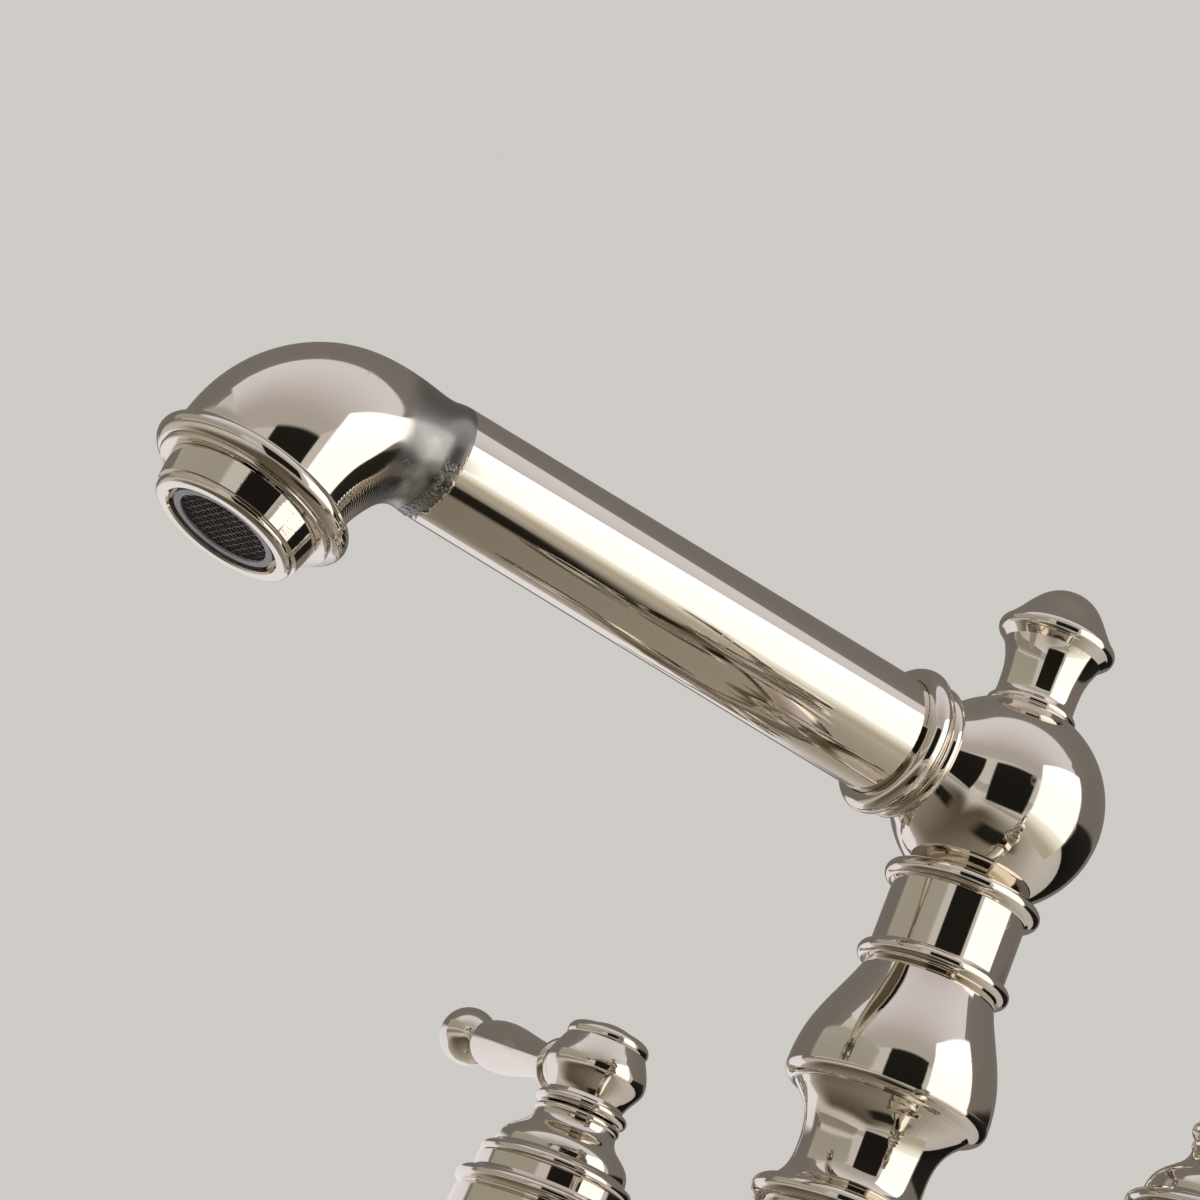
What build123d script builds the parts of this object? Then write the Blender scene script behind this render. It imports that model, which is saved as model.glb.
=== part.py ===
"""Bridge kitchen faucet: two turned valve columns joined by a bridge, with a swivelling
straight spout on a ball hub. Millimetres, +Z up. The origin lies on the sink deck, midway
between the two deck holes. The spout points along -Y, hot is at -X and cold at +X."""
from build123d import *
import os
from math import cos, radians, sin, sqrt, tan

os.makedirs("parts", exist_ok=True)

# Driving dimensions of the whole faucet
valve_spacing = 203.2      # between the two deck holes, 8 inches
hub_height = 178.0         # centre of the ball hub above the deck
bridge_height = 78.0       # axis of the bridge above the deck
reach = 153.4              # ball centre to where the tube axis meets the outlet axis
outlet_tilt = 12.4         # degrees that the outlet leans away from straight down
outlet_drop = 30.8         # from that meeting point down to the aerator lip

# Spout
tube_hub_r = 11.5
tube_tip_r = 10.65
tube_wall = 1.2
elbow_bend_r = 26.0
elbow_collar_length = 3.3  # straight stretch of the elbow casting before its bend
ball_r = 19.7
ferrule_bead_r = 2.2
ferrule_bead_outer_r = 14.4
flange_r = 18.5
lip_r = 12.7               # aerator lip, halfway round its rounded edge, one inch across

# Threads and bores shared by mating pieces
supply_thread_r = 10.48    # half-inch pipe thread, outside
aerator_thread_r = 11.9    # fifteen sixteenths of an inch across
water_bore_r = 7.5
stem_bore_r = 5.6
fit = 0.05                 # radial clearance of threads and running fits
turn_gap = 0.25            # clearance between faces that turn past each other
edge = 0.3                 # small bevel on turned edges
step = 0.8                 # small shoulder beside a bead

# Heights on the column, measured from the ball centre
neck_bottom = -17.0
bead_a_height = -18.9
bead_b_height = -34.6
nut_bottom = -36.1         # lower edge of the lower bead

# Valve columns
flange_top = 20.0
deck_thickness = 25.0
chamber_half = 12.0        # the cartridge chamber's swell above and below the bridge axis
crown_land = 8.0           # from the top of the swell to the top of the valve body
bonnet_height = 14.0
handle_rise = 8.5          # from the bonnet to where the lever meets the handle hub
lever_rise = 8.0           # degrees that the lever slopes up
lever_length = 64.0        # valve axis to the end of the lever

valve_x = valve_spacing / 2
seat_height = bridge_height - chamber_half
shoulder_height = bridge_height + chamber_half
valve_top = shoulder_height + crown_land
bonnet_top = valve_top + bonnet_height
handle_height = bonnet_top + handle_rise
sides = (("hot", -1), ("cold", 1))

hub_centre = Vector(0, 0, hub_height)
tilt = radians(outlet_tilt)
outlet_up = Vector(0, sin(tilt), cos(tilt))
outlet_corner = Vector(0, -reach, hub_height)
lip_centre = outlet_corner - outlet_up * outlet_drop

# Drawing planes: first axis is the radius or the length, second axis is up
column_plane = Plane(origin=hub_centre, x_dir=(1, 0, 0), z_dir=(0, -1, 0))
spout_plane = Plane(origin=hub_centre, x_dir=(0, -1, 0), z_dir=(-1, 0, 0))
outlet_plane = Plane(origin=lip_centre, x_dir=(1, 0, 0), z_dir=(0, -cos(tilt), sin(tilt)))
deck_plane = Plane(origin=(0, 0, 0), x_dir=(1, 0, 0), z_dir=(0, -1, 0))
column_axis = Axis(hub_centre, (0, 0, 1))
spout_axis = Axis(hub_centre, (0, -1, 0))
outlet_axis = Axis(lip_centre, outlet_up)


def save(piece, name):
    """Label a finished piece and write it as its own file."""
    piece.part.label = name
    export_step(piece.part, f"parts/{name}.step")


def outlet_level(height):
    """Plane square to the outlet axis, this far above the aerator lip."""
    return Plane(origin=lip_centre + outlet_up * height, x_dir=(1, 0, 0), z_dir=outlet_up)


def bead(centre_r, height, r):
    """Half-round bead on the outside of a turned profile, drawn upwards."""
    ThreePointArc((centre_r, height - r), (centre_r + r, height), (centre_r, height + r))


def corner_r(flats):
    """Corner radius of a hexagon that measures this much across its flats."""
    return flats / sqrt(3)


# Aerator shell: male-threaded cup with a plain band that widens upwards from a rounded lip
band_r = 14.4
band_foot_r = 13.6
band_top = 6.4
lip_height = 1.1
lip_round = 0.5
lip_groove_r = 13.0        # fine groove between the lip and the band
lip_groove_height = 1.4
lip_opening_r = 10.55
shell_top = 12.2
ledge_bottom = 2.0
ledge_top = 3.0
ledge_r = 9.9
with BuildPart() as aerator_shell:
    with BuildSketch(outlet_plane):
        with BuildLine():
            lip_face_r = lip_r - lip_round
            lip_side_r = lip_r + lip_round
            Polyline((lip_opening_r, edge), (lip_opening_r + edge, 0), (lip_face_r, 0))
            TangentArc((lip_face_r, 0), (lip_side_r, lip_height), tangent=(1, 0))
            Polyline(
                (lip_side_r, lip_height),
                (lip_groove_r, lip_groove_height),
                (band_foot_r, lip_groove_height + edge),
                (band_r, band_top - fit),
                (aerator_thread_r - fit, band_top - fit),
                (aerator_thread_r - fit, shell_top),
                (lip_opening_r, shell_top),
                (lip_opening_r, ledge_top),
                (ledge_r, ledge_top),
                (ledge_r, ledge_bottom),
                (lip_opening_r, ledge_bottom),
                (lip_opening_r, edge),
            )
        make_face()
    revolve(axis=outlet_axis)
save(aerator_shell, "aerator_shell")

# Aerator insert: grey plastic housing that rests on the ledge inside the shell
insert_face = 0.6
insert_ring_r = 9.65
insert_opening_r = 8.4
insert_body_r = lip_opening_r - 2 * fit
screen_r = 8.85
screen_bottom = 1.0
screen_thickness = 0.35
regulator_r = 9.35
regulator_bottom = 7.0
regulator_thickness = 3.5
with BuildPart() as aerator_insert:
    with BuildSketch(outlet_plane):
        with BuildLine():
            Polyline(
                (insert_opening_r, insert_face),
                (insert_ring_r, insert_face),
                (insert_ring_r, ledge_top),
                (insert_body_r, ledge_top),
                (insert_body_r, shell_top),
                (regulator_r + fit, shell_top),
                (regulator_r + fit, regulator_bottom),
                (screen_r + fit, regulator_bottom),
                (screen_r + fit, screen_bottom),
                (insert_opening_r, screen_bottom),
                close=True,
            )
        make_face()
    revolve(axis=outlet_axis)
save(aerator_insert, "aerator_insert")

# Aerator screen: flat woven net that rests on the rim of the insert
mesh_pitch = 1.2
mesh_hole = 0.8
mesh_reach = 7
with BuildPart() as aerator_screen:
    with BuildSketch(outlet_level(screen_bottom)):
        Circle(screen_r)
        holes = [
            (i * mesh_pitch, j * mesh_pitch)
            for i in range(-mesh_reach, mesh_reach + 1)
            for j in range(-mesh_reach, mesh_reach + 1)
            if (i * i + j * j) * mesh_pitch**2 < (insert_opening_r - mesh_hole) ** 2
        ]
        with Locations(*holes):
            Rectangle(mesh_hole, mesh_hole, mode=Mode.SUBTRACT)
    extrude(amount=screen_thickness)
save(aerator_screen, "aerator_screen")

# Flow regulator: thick disc with a ring of small jets, above the screen
jet_count = 16
jet_r = 0.55
jet_circle_r = 6.2
with BuildPart() as flow_regulator:
    with BuildSketch(outlet_level(regulator_bottom)):
        Circle(regulator_r)
        with PolarLocations(jet_circle_r, jet_count):
            Circle(jet_r, mode=Mode.SUBTRACT)
    extrude(amount=regulator_thickness)
save(flow_regulator, "flow_regulator")

# Aerator gasket: flat rubber ring squeezed between the shell and the elbow
gasket_seat = 13.6
gasket_bore_r = 8.4
with BuildPart() as aerator_gasket:
    with BuildSketch(outlet_level(shell_top)):
        Circle(aerator_thread_r - 2 * fit)
        Circle(gasket_bore_r, mode=Mode.SUBTRACT)
    extrude(amount=gasket_seat - shell_top)
save(aerator_gasket, "aerator_gasket")

# Spout elbow: casting that swells from a narrow neck at the tube to the flanged outlet.
# Each bend station is its share of the turn, its radius and its shift to the outer side.
bend_stations = (
    (0.0, 10.1, -0.25),
    (0.2, 11.75, 0.25),
    (0.4, 14.05, 0.7),
    (0.6, 15.55, 0.95),
    (0.7, 15.95, 0.95),
    (0.8, 16.2, 0.8),
    (0.9, 16.25, 0.55),
    (1.0, 16.15, 0.2),
)
neck_r, neck_shift = bend_stations[0][1:]
elbow_turn = radians(90 - outlet_tilt)
bend_tangent = elbow_bend_r * tan(elbow_turn / 2)
bend_start = reach - bend_tangent
joint_s = bend_start - elbow_collar_length
collar_blend = 1.6         # length over which the collar narrows to the neck
spigot_r = tube_tip_r - tube_wall - fit
spigot_length = 10.0
throat_r = 10.5
flange_face = 11.3         # heights above the aerator lip
rim_height = 9.2
ridge_top = 7.3
ridge_r = 16.5


def straight_section(s, shift):
    """Plane square to the tube axis at distance s from the ball centre."""
    origin = hub_centre + Vector(0, -s, shift)
    return Plane(origin=origin, x_dir=(1, 0, 0), z_dir=(0, -1, 0))


def bend_section(share, shift):
    """Plane square to the bend's centre line at this share of the turn."""
    angle = elbow_turn * share
    centre = hub_centre + Vector(0, -bend_start, -elbow_bend_r)
    origin = centre + Vector(0, -sin(angle), cos(angle)) * (elbow_bend_r + shift)
    return Plane(origin=origin, x_dir=(1, 0, 0), z_dir=(0, -cos(angle), -sin(angle)))


with BuildPart() as spout_elbow:
    with BuildSketch(straight_section(joint_s, 0)):
        Circle(tube_tip_r)
    with BuildSketch(straight_section(joint_s + collar_blend, neck_shift)):
        Circle(neck_r)
    for share, r, shift in bend_stations:
        with BuildSketch(bend_section(share, shift)):
            Circle(r)
    loft()
    # Outlet flange with a rounded rim and a smaller ridge under it
    with BuildSketch(outlet_plane):
        with BuildLine():
            rim_edge_r = flange_r - 2 * step
            Line((0, flange_face), (rim_edge_r, flange_face))
            ThreePointArc((rim_edge_r, flange_face), (flange_r, rim_height), (rim_edge_r, ridge_top))
            Line((rim_edge_r, ridge_top), (ridge_r - edge, ridge_top))
            ridge_middle = (ridge_top + band_top) / 2
            ThreePointArc(
                (ridge_r - edge, ridge_top), (ridge_r, ridge_middle), (ridge_r - step, band_top)
            )
            Polyline((ridge_r - step, band_top), (0, band_top), (0, flange_face))
        make_face()
    revolve(axis=outlet_axis)
    # Spigot inside the tube
    with BuildSketch(straight_section(joint_s - spigot_length, 0)):
        Circle(spigot_r)
    extrude(amount=spigot_length)
    # Waterway and the thread that holds the aerator
    with BuildSketch(straight_section(joint_s - spigot_length, 0)):
        Circle(water_bore_r)
    extrude(amount=spigot_length, mode=Mode.SUBTRACT)
    with BuildSketch(straight_section(joint_s, 0)):
        Circle(water_bore_r)
    for share, r, shift in bend_stations:
        with BuildSketch(bend_section(share, shift)):
            Circle(water_bore_r + (throat_r - water_bore_r) * share)
    loft(mode=Mode.SUBTRACT)
    with BuildSketch(outlet_level(band_top)):
        Circle(aerator_thread_r)
    extrude(amount=gasket_seat - band_top, mode=Mode.SUBTRACT)
save(spout_elbow, "spout_elbow")

# Spout tube: straight and slightly tapered
tube_start = 22.5
with BuildPart() as spout_tube:
    with BuildSketch(spout_plane):
        with BuildLine():
            Polyline(
                (tube_start, tube_hub_r),
                (joint_s, tube_tip_r),
                (joint_s, tube_tip_r - tube_wall),
                (tube_start, tube_hub_r - tube_wall),
                close=True,
            )
        make_face()
    revolve(axis=spout_axis)
save(spout_tube, "spout_tube")

# Spout ferrule: sleeve with a large and a small bead that carries the tube in the ball hub
ferrule_neck_r = 10.5
ferrule_neck_end = 18.6
ferrule_thread_r = 9.0
ferrule_thread_start = 9.0
small_bead_r = 1.4
small_bead_outer_r = 13.2
small_bead_start = ferrule_neck_end + step
small_bead_end = small_bead_start + 2 * small_bead_r
big_bead_start = tube_start + edge
ferrule_end = big_bead_start + 2 * ferrule_bead_r
hub_face_s = sqrt(ball_r**2 - ferrule_neck_r**2) + fit
with BuildPart() as spout_ferrule:
    with BuildSketch(spout_plane):
        with BuildLine():
            small_centre_r = small_bead_outer_r - small_bead_r
            big_centre_r = ferrule_bead_outer_r - ferrule_bead_r
            Polyline(
                (ferrule_thread_start, water_bore_r),
                (ferrule_thread_start, ferrule_thread_r),
                (hub_face_s, ferrule_thread_r),
                (hub_face_s, ferrule_neck_r),
                (ferrule_neck_end, ferrule_neck_r),
                (small_bead_start, small_centre_r),
            )
            ThreePointArc(
                (small_bead_start, small_centre_r),
                (small_bead_start + small_bead_r, small_bead_outer_r),
                (small_bead_end, small_centre_r),
            )
            Line((small_bead_end, small_centre_r), (big_bead_start, big_centre_r))
            ThreePointArc(
                (big_bead_start, big_centre_r),
                (big_bead_start + ferrule_bead_r, ferrule_bead_outer_r),
                (ferrule_end, big_centre_r),
            )
            Polyline(
                (ferrule_end, big_centre_r),
                (ferrule_end, tube_hub_r + fit),
                (tube_start, tube_hub_r + fit),
                (tube_start, water_bore_r),
                (ferrule_thread_start, water_bore_r),
            )
        make_face()
    revolve(axis=spout_axis)
save(spout_ferrule, "spout_ferrule")

# Spout hub: hollow ball with a front port, a bottom port and a seat for the finial
finial_seat = 17.7
finial_thread_r = 3.0
finial_thread_bottom = 9.5
stem_thread_r = 8.0
stem_thread_top = -9.0
hub_neck_r = 10.8
with BuildPart() as spout_hub:
    with BuildSketch(column_plane):
        with BuildLine():
            seat_r = sqrt(ball_r**2 - finial_seat**2)
            neck_z = -sqrt(ball_r**2 - hub_neck_r**2)
            Polyline((0, neck_bottom), (hub_neck_r, neck_bottom), (hub_neck_r, neck_z))
            ThreePointArc((hub_neck_r, neck_z), (ball_r, 0), (seat_r, finial_seat))
            Polyline((seat_r, finial_seat), (0, finial_seat), (0, neck_bottom))
        make_face()
    revolve(axis=column_axis)
    with BuildSketch(straight_section(hub_face_s, 0)):
        Circle(ferrule_neck_r)
    extrude(amount=ball_r, mode=Mode.SUBTRACT)
    with BuildSketch(straight_section(ferrule_thread_start, 0)):
        Circle(ferrule_thread_r + fit)
    extrude(amount=ball_r, mode=Mode.SUBTRACT)
    with BuildSketch(straight_section(-stem_bore_r, 0)):
        Circle(water_bore_r)
    extrude(amount=stem_bore_r + ferrule_thread_start, mode=Mode.SUBTRACT)
    with BuildSketch(Plane.XY.offset(hub_height + neck_bottom)):
        Circle(stem_thread_r + fit)
    extrude(amount=stem_thread_top - neck_bottom, mode=Mode.SUBTRACT)
    with BuildSketch(Plane.XY.offset(hub_height + stem_thread_top)):
        Circle(stem_bore_r)
    extrude(amount=-stem_thread_top, mode=Mode.SUBTRACT)
    with BuildSketch(Plane.XY.offset(hub_height + finial_thread_bottom)):
        Circle(finial_thread_r + fit)
    extrude(amount=ball_r, mode=Mode.SUBTRACT)
save(spout_hub, "spout_hub")

# Finial: turned cap on a waisted stem, screwed into the top of the ball
finial_thread_foot = finial_thread_bottom + 2 * edge
finial_base_r = 8.6
finial_base_height = 1.6
finial_waist = (7.5, 21.7)         # radius and height above the ball centre
finial_throat = (9.3, 30.6)
finial_rim_r = 11.2
finial_rim_height = 33.2
finial_rim_half = 1.5
finial_crown = (8.3, 37.4)
finial_top = 43.0
with BuildPart() as finial:
    with BuildSketch(column_plane):
        with BuildLine():
            base_edge_r = finial_base_r - step / 2
            base_top = finial_seat + finial_base_height
            rim_edge_r = finial_rim_r - step
            rim_top = finial_rim_height + finial_rim_half
            rim_foot = (rim_edge_r, finial_rim_height - finial_rim_half)
            Polyline(
                (0, finial_thread_foot),
                (finial_thread_r, finial_thread_foot),
                (finial_thread_r, finial_seat),
                (base_edge_r, finial_seat),
            )
            ThreePointArc(
                (base_edge_r, finial_seat),
                (finial_base_r, (finial_seat + base_top) / 2),
                (base_edge_r, base_top),
            )
            Spline(
                (base_edge_r, base_top),
                finial_waist,
                finial_throat,
                tangents=((-1, 0.6), (0.5, 1)),
            )
            Line(finial_throat, rim_foot)
            ThreePointArc(rim_foot, (finial_rim_r, finial_rim_height), (rim_edge_r, rim_top))
            Spline(
                (rim_edge_r, rim_top),
                finial_crown,
                (0, finial_top),
                tangents=((-0.9, 1), (-1, 0)),
            )
            Line((0, finial_top), (0, finial_thread_foot))
        make_face()
    revolve(axis=column_axis)
save(finial, "finial")

# Swivel stem: brass tube with a shoulder, screwed into the ball and turning in the column
stem_r = 8.5
nut_top = neck_bottom - turn_gap
nut_lip = 2.75             # thickness of the lip that holds the stem down
glide_thickness = 0.8
shoulder_thickness = 2.0
shoulder_r = 10.3
nut_lip_bottom = nut_top - nut_lip
shoulder_top = nut_lip_bottom - glide_thickness - fit
shoulder_bottom = shoulder_top - shoulder_thickness
spigot_top = shoulder_bottom - fit - glide_thickness
stem_bottom = -42.0
o_ring_heights = (-28.5, -34.0)
o_ring_height = 1.8
groove_r = 7.0
with BuildPart() as swivel_stem:
    with BuildSketch(column_plane):
        with BuildLine():
            Polyline(
                (stem_bore_r, stem_bottom),
                (stem_r - step, stem_bottom),
                (stem_r, stem_bottom + step),
                (stem_r, shoulder_bottom),
                (shoulder_r, shoulder_bottom),
                (shoulder_r, shoulder_top),
                (stem_r, shoulder_top),
                (stem_r, neck_bottom),
                (stem_thread_r, neck_bottom),
                (stem_thread_r, stem_thread_top),
                (stem_bore_r, stem_thread_top),
                close=True,
            )
        make_face()
    revolve(axis=column_axis)
    for height in o_ring_heights:
        with BuildSketch(Plane.XY.offset(hub_height + height - o_ring_height / 2)):
            Circle(stem_r + step)
            Circle(groove_r, mode=Mode.SUBTRACT)
        extrude(amount=o_ring_height, mode=Mode.SUBTRACT)
save(swivel_stem, "swivel_stem")

# O-rings in the grooves of the swivel stem
for name, height in zip(("upper_o_ring", "lower_o_ring"), o_ring_heights):
    with BuildPart() as o_ring:
        with BuildSketch(column_plane):
            with Locations(((groove_r + stem_r) / 2, height)):
                Circle((stem_r - groove_r) / 2)
        revolve(axis=column_axis)
    save(o_ring, name)

# Swivel nut: collar with two beads that holds the stem down on the riser
nut_r = 12.7
bead_a_r = 1.65
bead_a_centre_r = 13.15
bead_b_r = 1.5
bead_b_centre_r = 12.95
riser_thread_r = 10.85
with BuildPart() as swivel_nut:
    with BuildSketch(column_plane):
        with BuildLine():
            Polyline(
                (stem_r + fit, nut_top),
                (stem_r + fit, nut_lip_bottom),
                (riser_thread_r + fit, nut_lip_bottom),
                (riser_thread_r + fit, nut_bottom),
                (bead_b_centre_r, nut_bottom),
            )
            bead(bead_b_centre_r, bead_b_height, bead_b_r)
            Polyline(
                (bead_b_centre_r, bead_b_height + bead_b_r),
                (nut_r, bead_b_height + bead_b_r + edge),
                (nut_r, bead_a_height - bead_a_r - edge),
                (bead_a_centre_r, bead_a_height - bead_a_r),
            )
            bead(bead_a_centre_r, bead_a_height, bead_a_r)
            Polyline(
                (bead_a_centre_r, bead_a_height + bead_a_r),
                (bead_a_centre_r - step, nut_top),
                (stem_r + fit, nut_top),
            )
        make_face()
    revolve(axis=column_axis)
save(swivel_nut, "swivel_nut")

# Glide rings above and below the shoulder of the swivel stem
ring_tops = (nut_lip_bottom, spigot_top + glide_thickness)
for name, top in zip(("upper_glide_ring", "lower_glide_ring"), ring_tops):
    with BuildPart() as glide_ring:
        with BuildSketch(Plane.XY.offset(hub_height + top)):
            Circle(riser_thread_r - 3 * fit)
            Circle(stem_r + 2 * fit, mode=Mode.SUBTRACT)
        extrude(amount=-glide_thickness)
    save(glide_ring, name)

# Riser column: flared vase between the bridge tee and the swivel nut
tee_rise = 16.0            # bridge axis to the riser's foot
tee_spigot_length = 10.0
riser_bottom = bridge_height + tee_rise
tee_spigot_r = 9.5
tee_spigot_top = riser_bottom + tee_spigot_length
foot_r = 15.0
foot_bead_r = 2.2
riser_waist_r = 12.0
riser_waist_rise = 12.0    # heights above the riser's foot
riser_undercut_r = 15.6
riser_undercut_rise = 21.6
flare_rise = 25.5
riser_waist = (riser_waist_r, riser_bottom + riser_waist_rise)
riser_undercut = (riser_undercut_r, riser_bottom + riser_undercut_rise)
flare_edge_r = 16.4
flare_r = 19.0
flare_height = riser_bottom + flare_rise
flare_turn = 3.0
riser_neck_r = 12.2
riser_bore_step = hub_height + stem_bottom - 2 * step
riser_top = hub_height + spigot_top
riser_shoulder = hub_height + nut_bottom
with BuildPart() as riser_column:
    with BuildSketch(deck_plane):
        with BuildLine():
            Line((tee_spigot_r + fit, riser_bottom), (foot_r, riser_bottom))
            bead(foot_r, riser_bottom + foot_bead_r, foot_bead_r)
            Spline(
                (foot_r, riser_bottom + 2 * foot_bead_r),
                riser_waist,
                riser_undercut,
                tangents=((-1, 0.6), (1, 0.9)),
            )
            Line(riser_undercut, (flare_edge_r, flare_height - flare_turn))
            TangentArc(
                (flare_edge_r, flare_height - flare_turn), (flare_r, flare_height), tangent=(1, 0)
            )
            Spline(
                (flare_r, flare_height),
                (riser_neck_r, riser_shoulder),
                tangents=((0, 1), (-0.3, 1)),
            )
            Polyline(
                (riser_neck_r, riser_shoulder),
                (riser_thread_r, riser_shoulder),
                (riser_thread_r, riser_top),
                (stem_r + fit, riser_top),
                (stem_r + fit, riser_bore_step),
                (water_bore_r, riser_bore_step),
                (water_bore_r, tee_spigot_top),
                (tee_spigot_r + fit, tee_spigot_top),
                (tee_spigot_r + fit, riser_bottom),
            )
        make_face()
    revolve(axis=Axis.Z)
save(riser_column, "riser_column")

# Bridge tee: ball with two side sockets and a threaded top
tee_ball_r = 17.5
tee_boss_r = 14.5
tee_neck_r = 11.8
tee_end = 27.0
tee_bead_r = 1.8
tee_bead_outer_r = 14.2
bridge_tube_r = 9.0
bridge_tube_wall = 1.2
socket_bottom = 15.0
bridge_centre = Vector(0, 0, bridge_height)
bridge_axis = Axis(bridge_centre, (1, 0, 0))
bridge_plane = Plane(origin=bridge_centre, x_dir=(1, 0, 0), z_dir=(0, -1, 0))
with BuildPart() as bridge_tee:
    with Locations(bridge_centre):
        Sphere(tee_ball_r)
    with BuildSketch(Plane.XY.offset(bridge_height)):
        Circle(tee_boss_r)
    extrude(amount=riser_bottom - bridge_height)
    with BuildSketch(Plane.XY.offset(bridge_height)):
        Circle(tee_spigot_r)
    extrude(amount=tee_spigot_top - edge - bridge_height)
    with BuildSketch(bridge_plane):
        with BuildLine():
            bead_x = tee_end - tee_bead_r
            bead_centre_r = tee_bead_outer_r - tee_bead_r
            Polyline(
                (0, 0),
                (0, tee_neck_r),
                (bead_x - tee_bead_r - step, tee_neck_r),
                (bead_x - tee_bead_r, bead_centre_r),
            )
            ThreePointArc(
                (bead_x - tee_bead_r, bead_centre_r),
                (bead_x, tee_bead_outer_r),
                (tee_end, bead_centre_r),
            )
            Polyline((tee_end, bead_centre_r), (tee_end, 0), (0, 0))
        make_face()
        mirror(about=Plane.YZ)
    revolve(axis=bridge_axis)
    with BuildSketch(Plane.YZ.offset(-tee_end)):
        with Locations((0, bridge_height)):
            Circle(water_bore_r)
    extrude(amount=2 * tee_end, mode=Mode.SUBTRACT)
    for _, side in sides:
        with BuildSketch(Plane.YZ.offset(side * socket_bottom)):
            with Locations((0, bridge_height)):
                Circle(bridge_tube_r + fit)
        extrude(amount=side * (tee_end - socket_bottom), mode=Mode.SUBTRACT)
    with BuildSketch(Plane.XY.offset(bridge_height)):
        Circle(water_bore_r - edge)
    extrude(amount=tee_spigot_top - bridge_height, mode=Mode.SUBTRACT)
save(bridge_tee, "bridge_tee")

# Union between each bridge tube and its valve body, distances from the valve axis
port_face = 24.5
washer_thickness = 1.5
tube_flange_thickness = 2.0
tube_flange_r = 10.2
nut_near = 19.6
nut_length = 13.0
port_thread_r = 10.5
nut_flats = 27.0
nut_bevel = 1.2
nut_inner_face = port_face + washer_thickness + tube_flange_thickness
for name, side in sides:
    flange_x = side * (valve_x - port_face - washer_thickness)

    with BuildPart() as bridge_tube:
        with BuildSketch(Plane.YZ.offset(side * socket_bottom)):
            with Locations((0, bridge_height)):
                Circle(bridge_tube_r)
        extrude(amount=flange_x - side * socket_bottom)
        with BuildSketch(Plane.YZ.offset(flange_x)):
            with Locations((0, bridge_height)):
                Circle(tube_flange_r)
        extrude(amount=-side * tube_flange_thickness)
        with BuildSketch(Plane.YZ.offset(side * socket_bottom)):
            with Locations((0, bridge_height)):
                Circle(bridge_tube_r - bridge_tube_wall)
        extrude(amount=flange_x - side * socket_bottom, mode=Mode.SUBTRACT)
    save(bridge_tube, f"{name}_bridge_tube")

    with BuildPart() as union_washer:
        with BuildSketch(Plane.YZ.offset(flange_x)):
            with Locations((0, bridge_height)):
                Circle(tube_flange_r)
                Circle(bridge_tube_r - bridge_tube_wall, mode=Mode.SUBTRACT)
        extrude(amount=side * washer_thickness)
    save(union_washer, f"{name}_union_washer")

    with BuildPart() as union_nut:
        near_x = side * (valve_x - nut_near)
        far_x = near_x - side * nut_length
        with BuildSketch(Plane.YZ.offset(near_x)):
            with Locations((0, bridge_height)):
                RegularPolygon(nut_flats / 2, 6, major_radius=False, rotation=30)
        extrude(amount=-side * nut_length)
        with BuildSketch(bridge_plane):
            with BuildLine():
                Polyline(
                    (near_x, 0),
                    (near_x, nut_flats / 2 - edge),
                    (near_x - side * nut_bevel, corner_r(nut_flats)),
                    (far_x + side * nut_bevel, corner_r(nut_flats)),
                    (far_x, nut_flats / 2 - edge),
                    (far_x, 0),
                    close=True,
                )
            make_face()
        revolve(axis=bridge_axis, mode=Mode.INTERSECT)
        with BuildSketch(Plane.YZ.offset(near_x)):
            with Locations((0, bridge_height)):
                Circle(port_thread_r + fit)
        extrude(amount=-side * (nut_inner_face - nut_near), mode=Mode.SUBTRACT)
        with BuildSketch(Plane.YZ.offset(near_x)):
            with Locations((0, bridge_height)):
                Circle(bridge_tube_r + 2 * fit)
        extrude(amount=-side * nut_length, mode=Mode.SUBTRACT)
    save(union_nut, f"{name}_union_nut")

# Outside of the valve column
shank_engagement = 16.0    # thread of the tail inside the valve body
shank_top = flange_top + shank_engagement
column_r = 13.2
base_bead_r = 1.8
waist_bead_r = 1.5
waist_drop = 20.9          # seat of the cartridge down to the waist bead
waist_height = seat_height - waist_drop
chamber_wall_r = 17.9
chamber_bulge = 0.4
crown_bead_r = 1.6
crown_height = shoulder_height + crown_bead_r + 1.5 * step
top_land_r = 16.0

# Cartridge dimensions, heights above the deck
seal_thickness = 2.5
seal_r = 8.4
disc_thickness = 3.0
disc_gap = 0.02            # water film between the two discs
disc_r = 8.0
sleeve_r = 8.9
sleeve_bore_r = 8.1
chamber_r = 10.2
spindle_r = 4.0
foot_height = 5.0
foot_r_clearance = 0.2
window_edge = 0.3
disc_slot_circle_r = 3.4
disc_slot_length = 5.0
disc_slot_width = 2.8
disc_notch = 5.0
disc_notch_circle_r = 6.8
foot_notch_circle_r = 7.4
fixed_disc_bottom = seat_height + seal_thickness
moving_disc_bottom = fixed_disc_bottom + disc_thickness + disc_gap
foot_bottom = moving_disc_bottom + disc_thickness
sleeve_top = foot_bottom + foot_height + 2 * turn_gap
cartridge_thread_drop = 4.0
cartridge_thread_bottom = shoulder_height - cartridge_thread_drop
hex_height = 3.5
hex_flats = 21.0
cartridge_neck_r = 6.5
cartridge_neck_height = 8.0
cartridge_top = valve_top + cartridge_neck_height
hub_bore_rise = 2.5        # heights above the place where the lever meets the hub
hub_bore_top = handle_height + hub_bore_rise
stem_top = hub_bore_top - 4 * fit
spline_offset = 1.0
spline_bottom = bonnet_top + spline_offset
spline_corners = 12
screw_r = 2.0
screw_hole_bottom = bonnet_top - spline_offset
stem_ring_offset = 2.0
stem_ring_height = shoulder_height + stem_ring_offset
stem_ring_r = 0.5
peg_r = 1.2
peg_centre = 5.0


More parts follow.
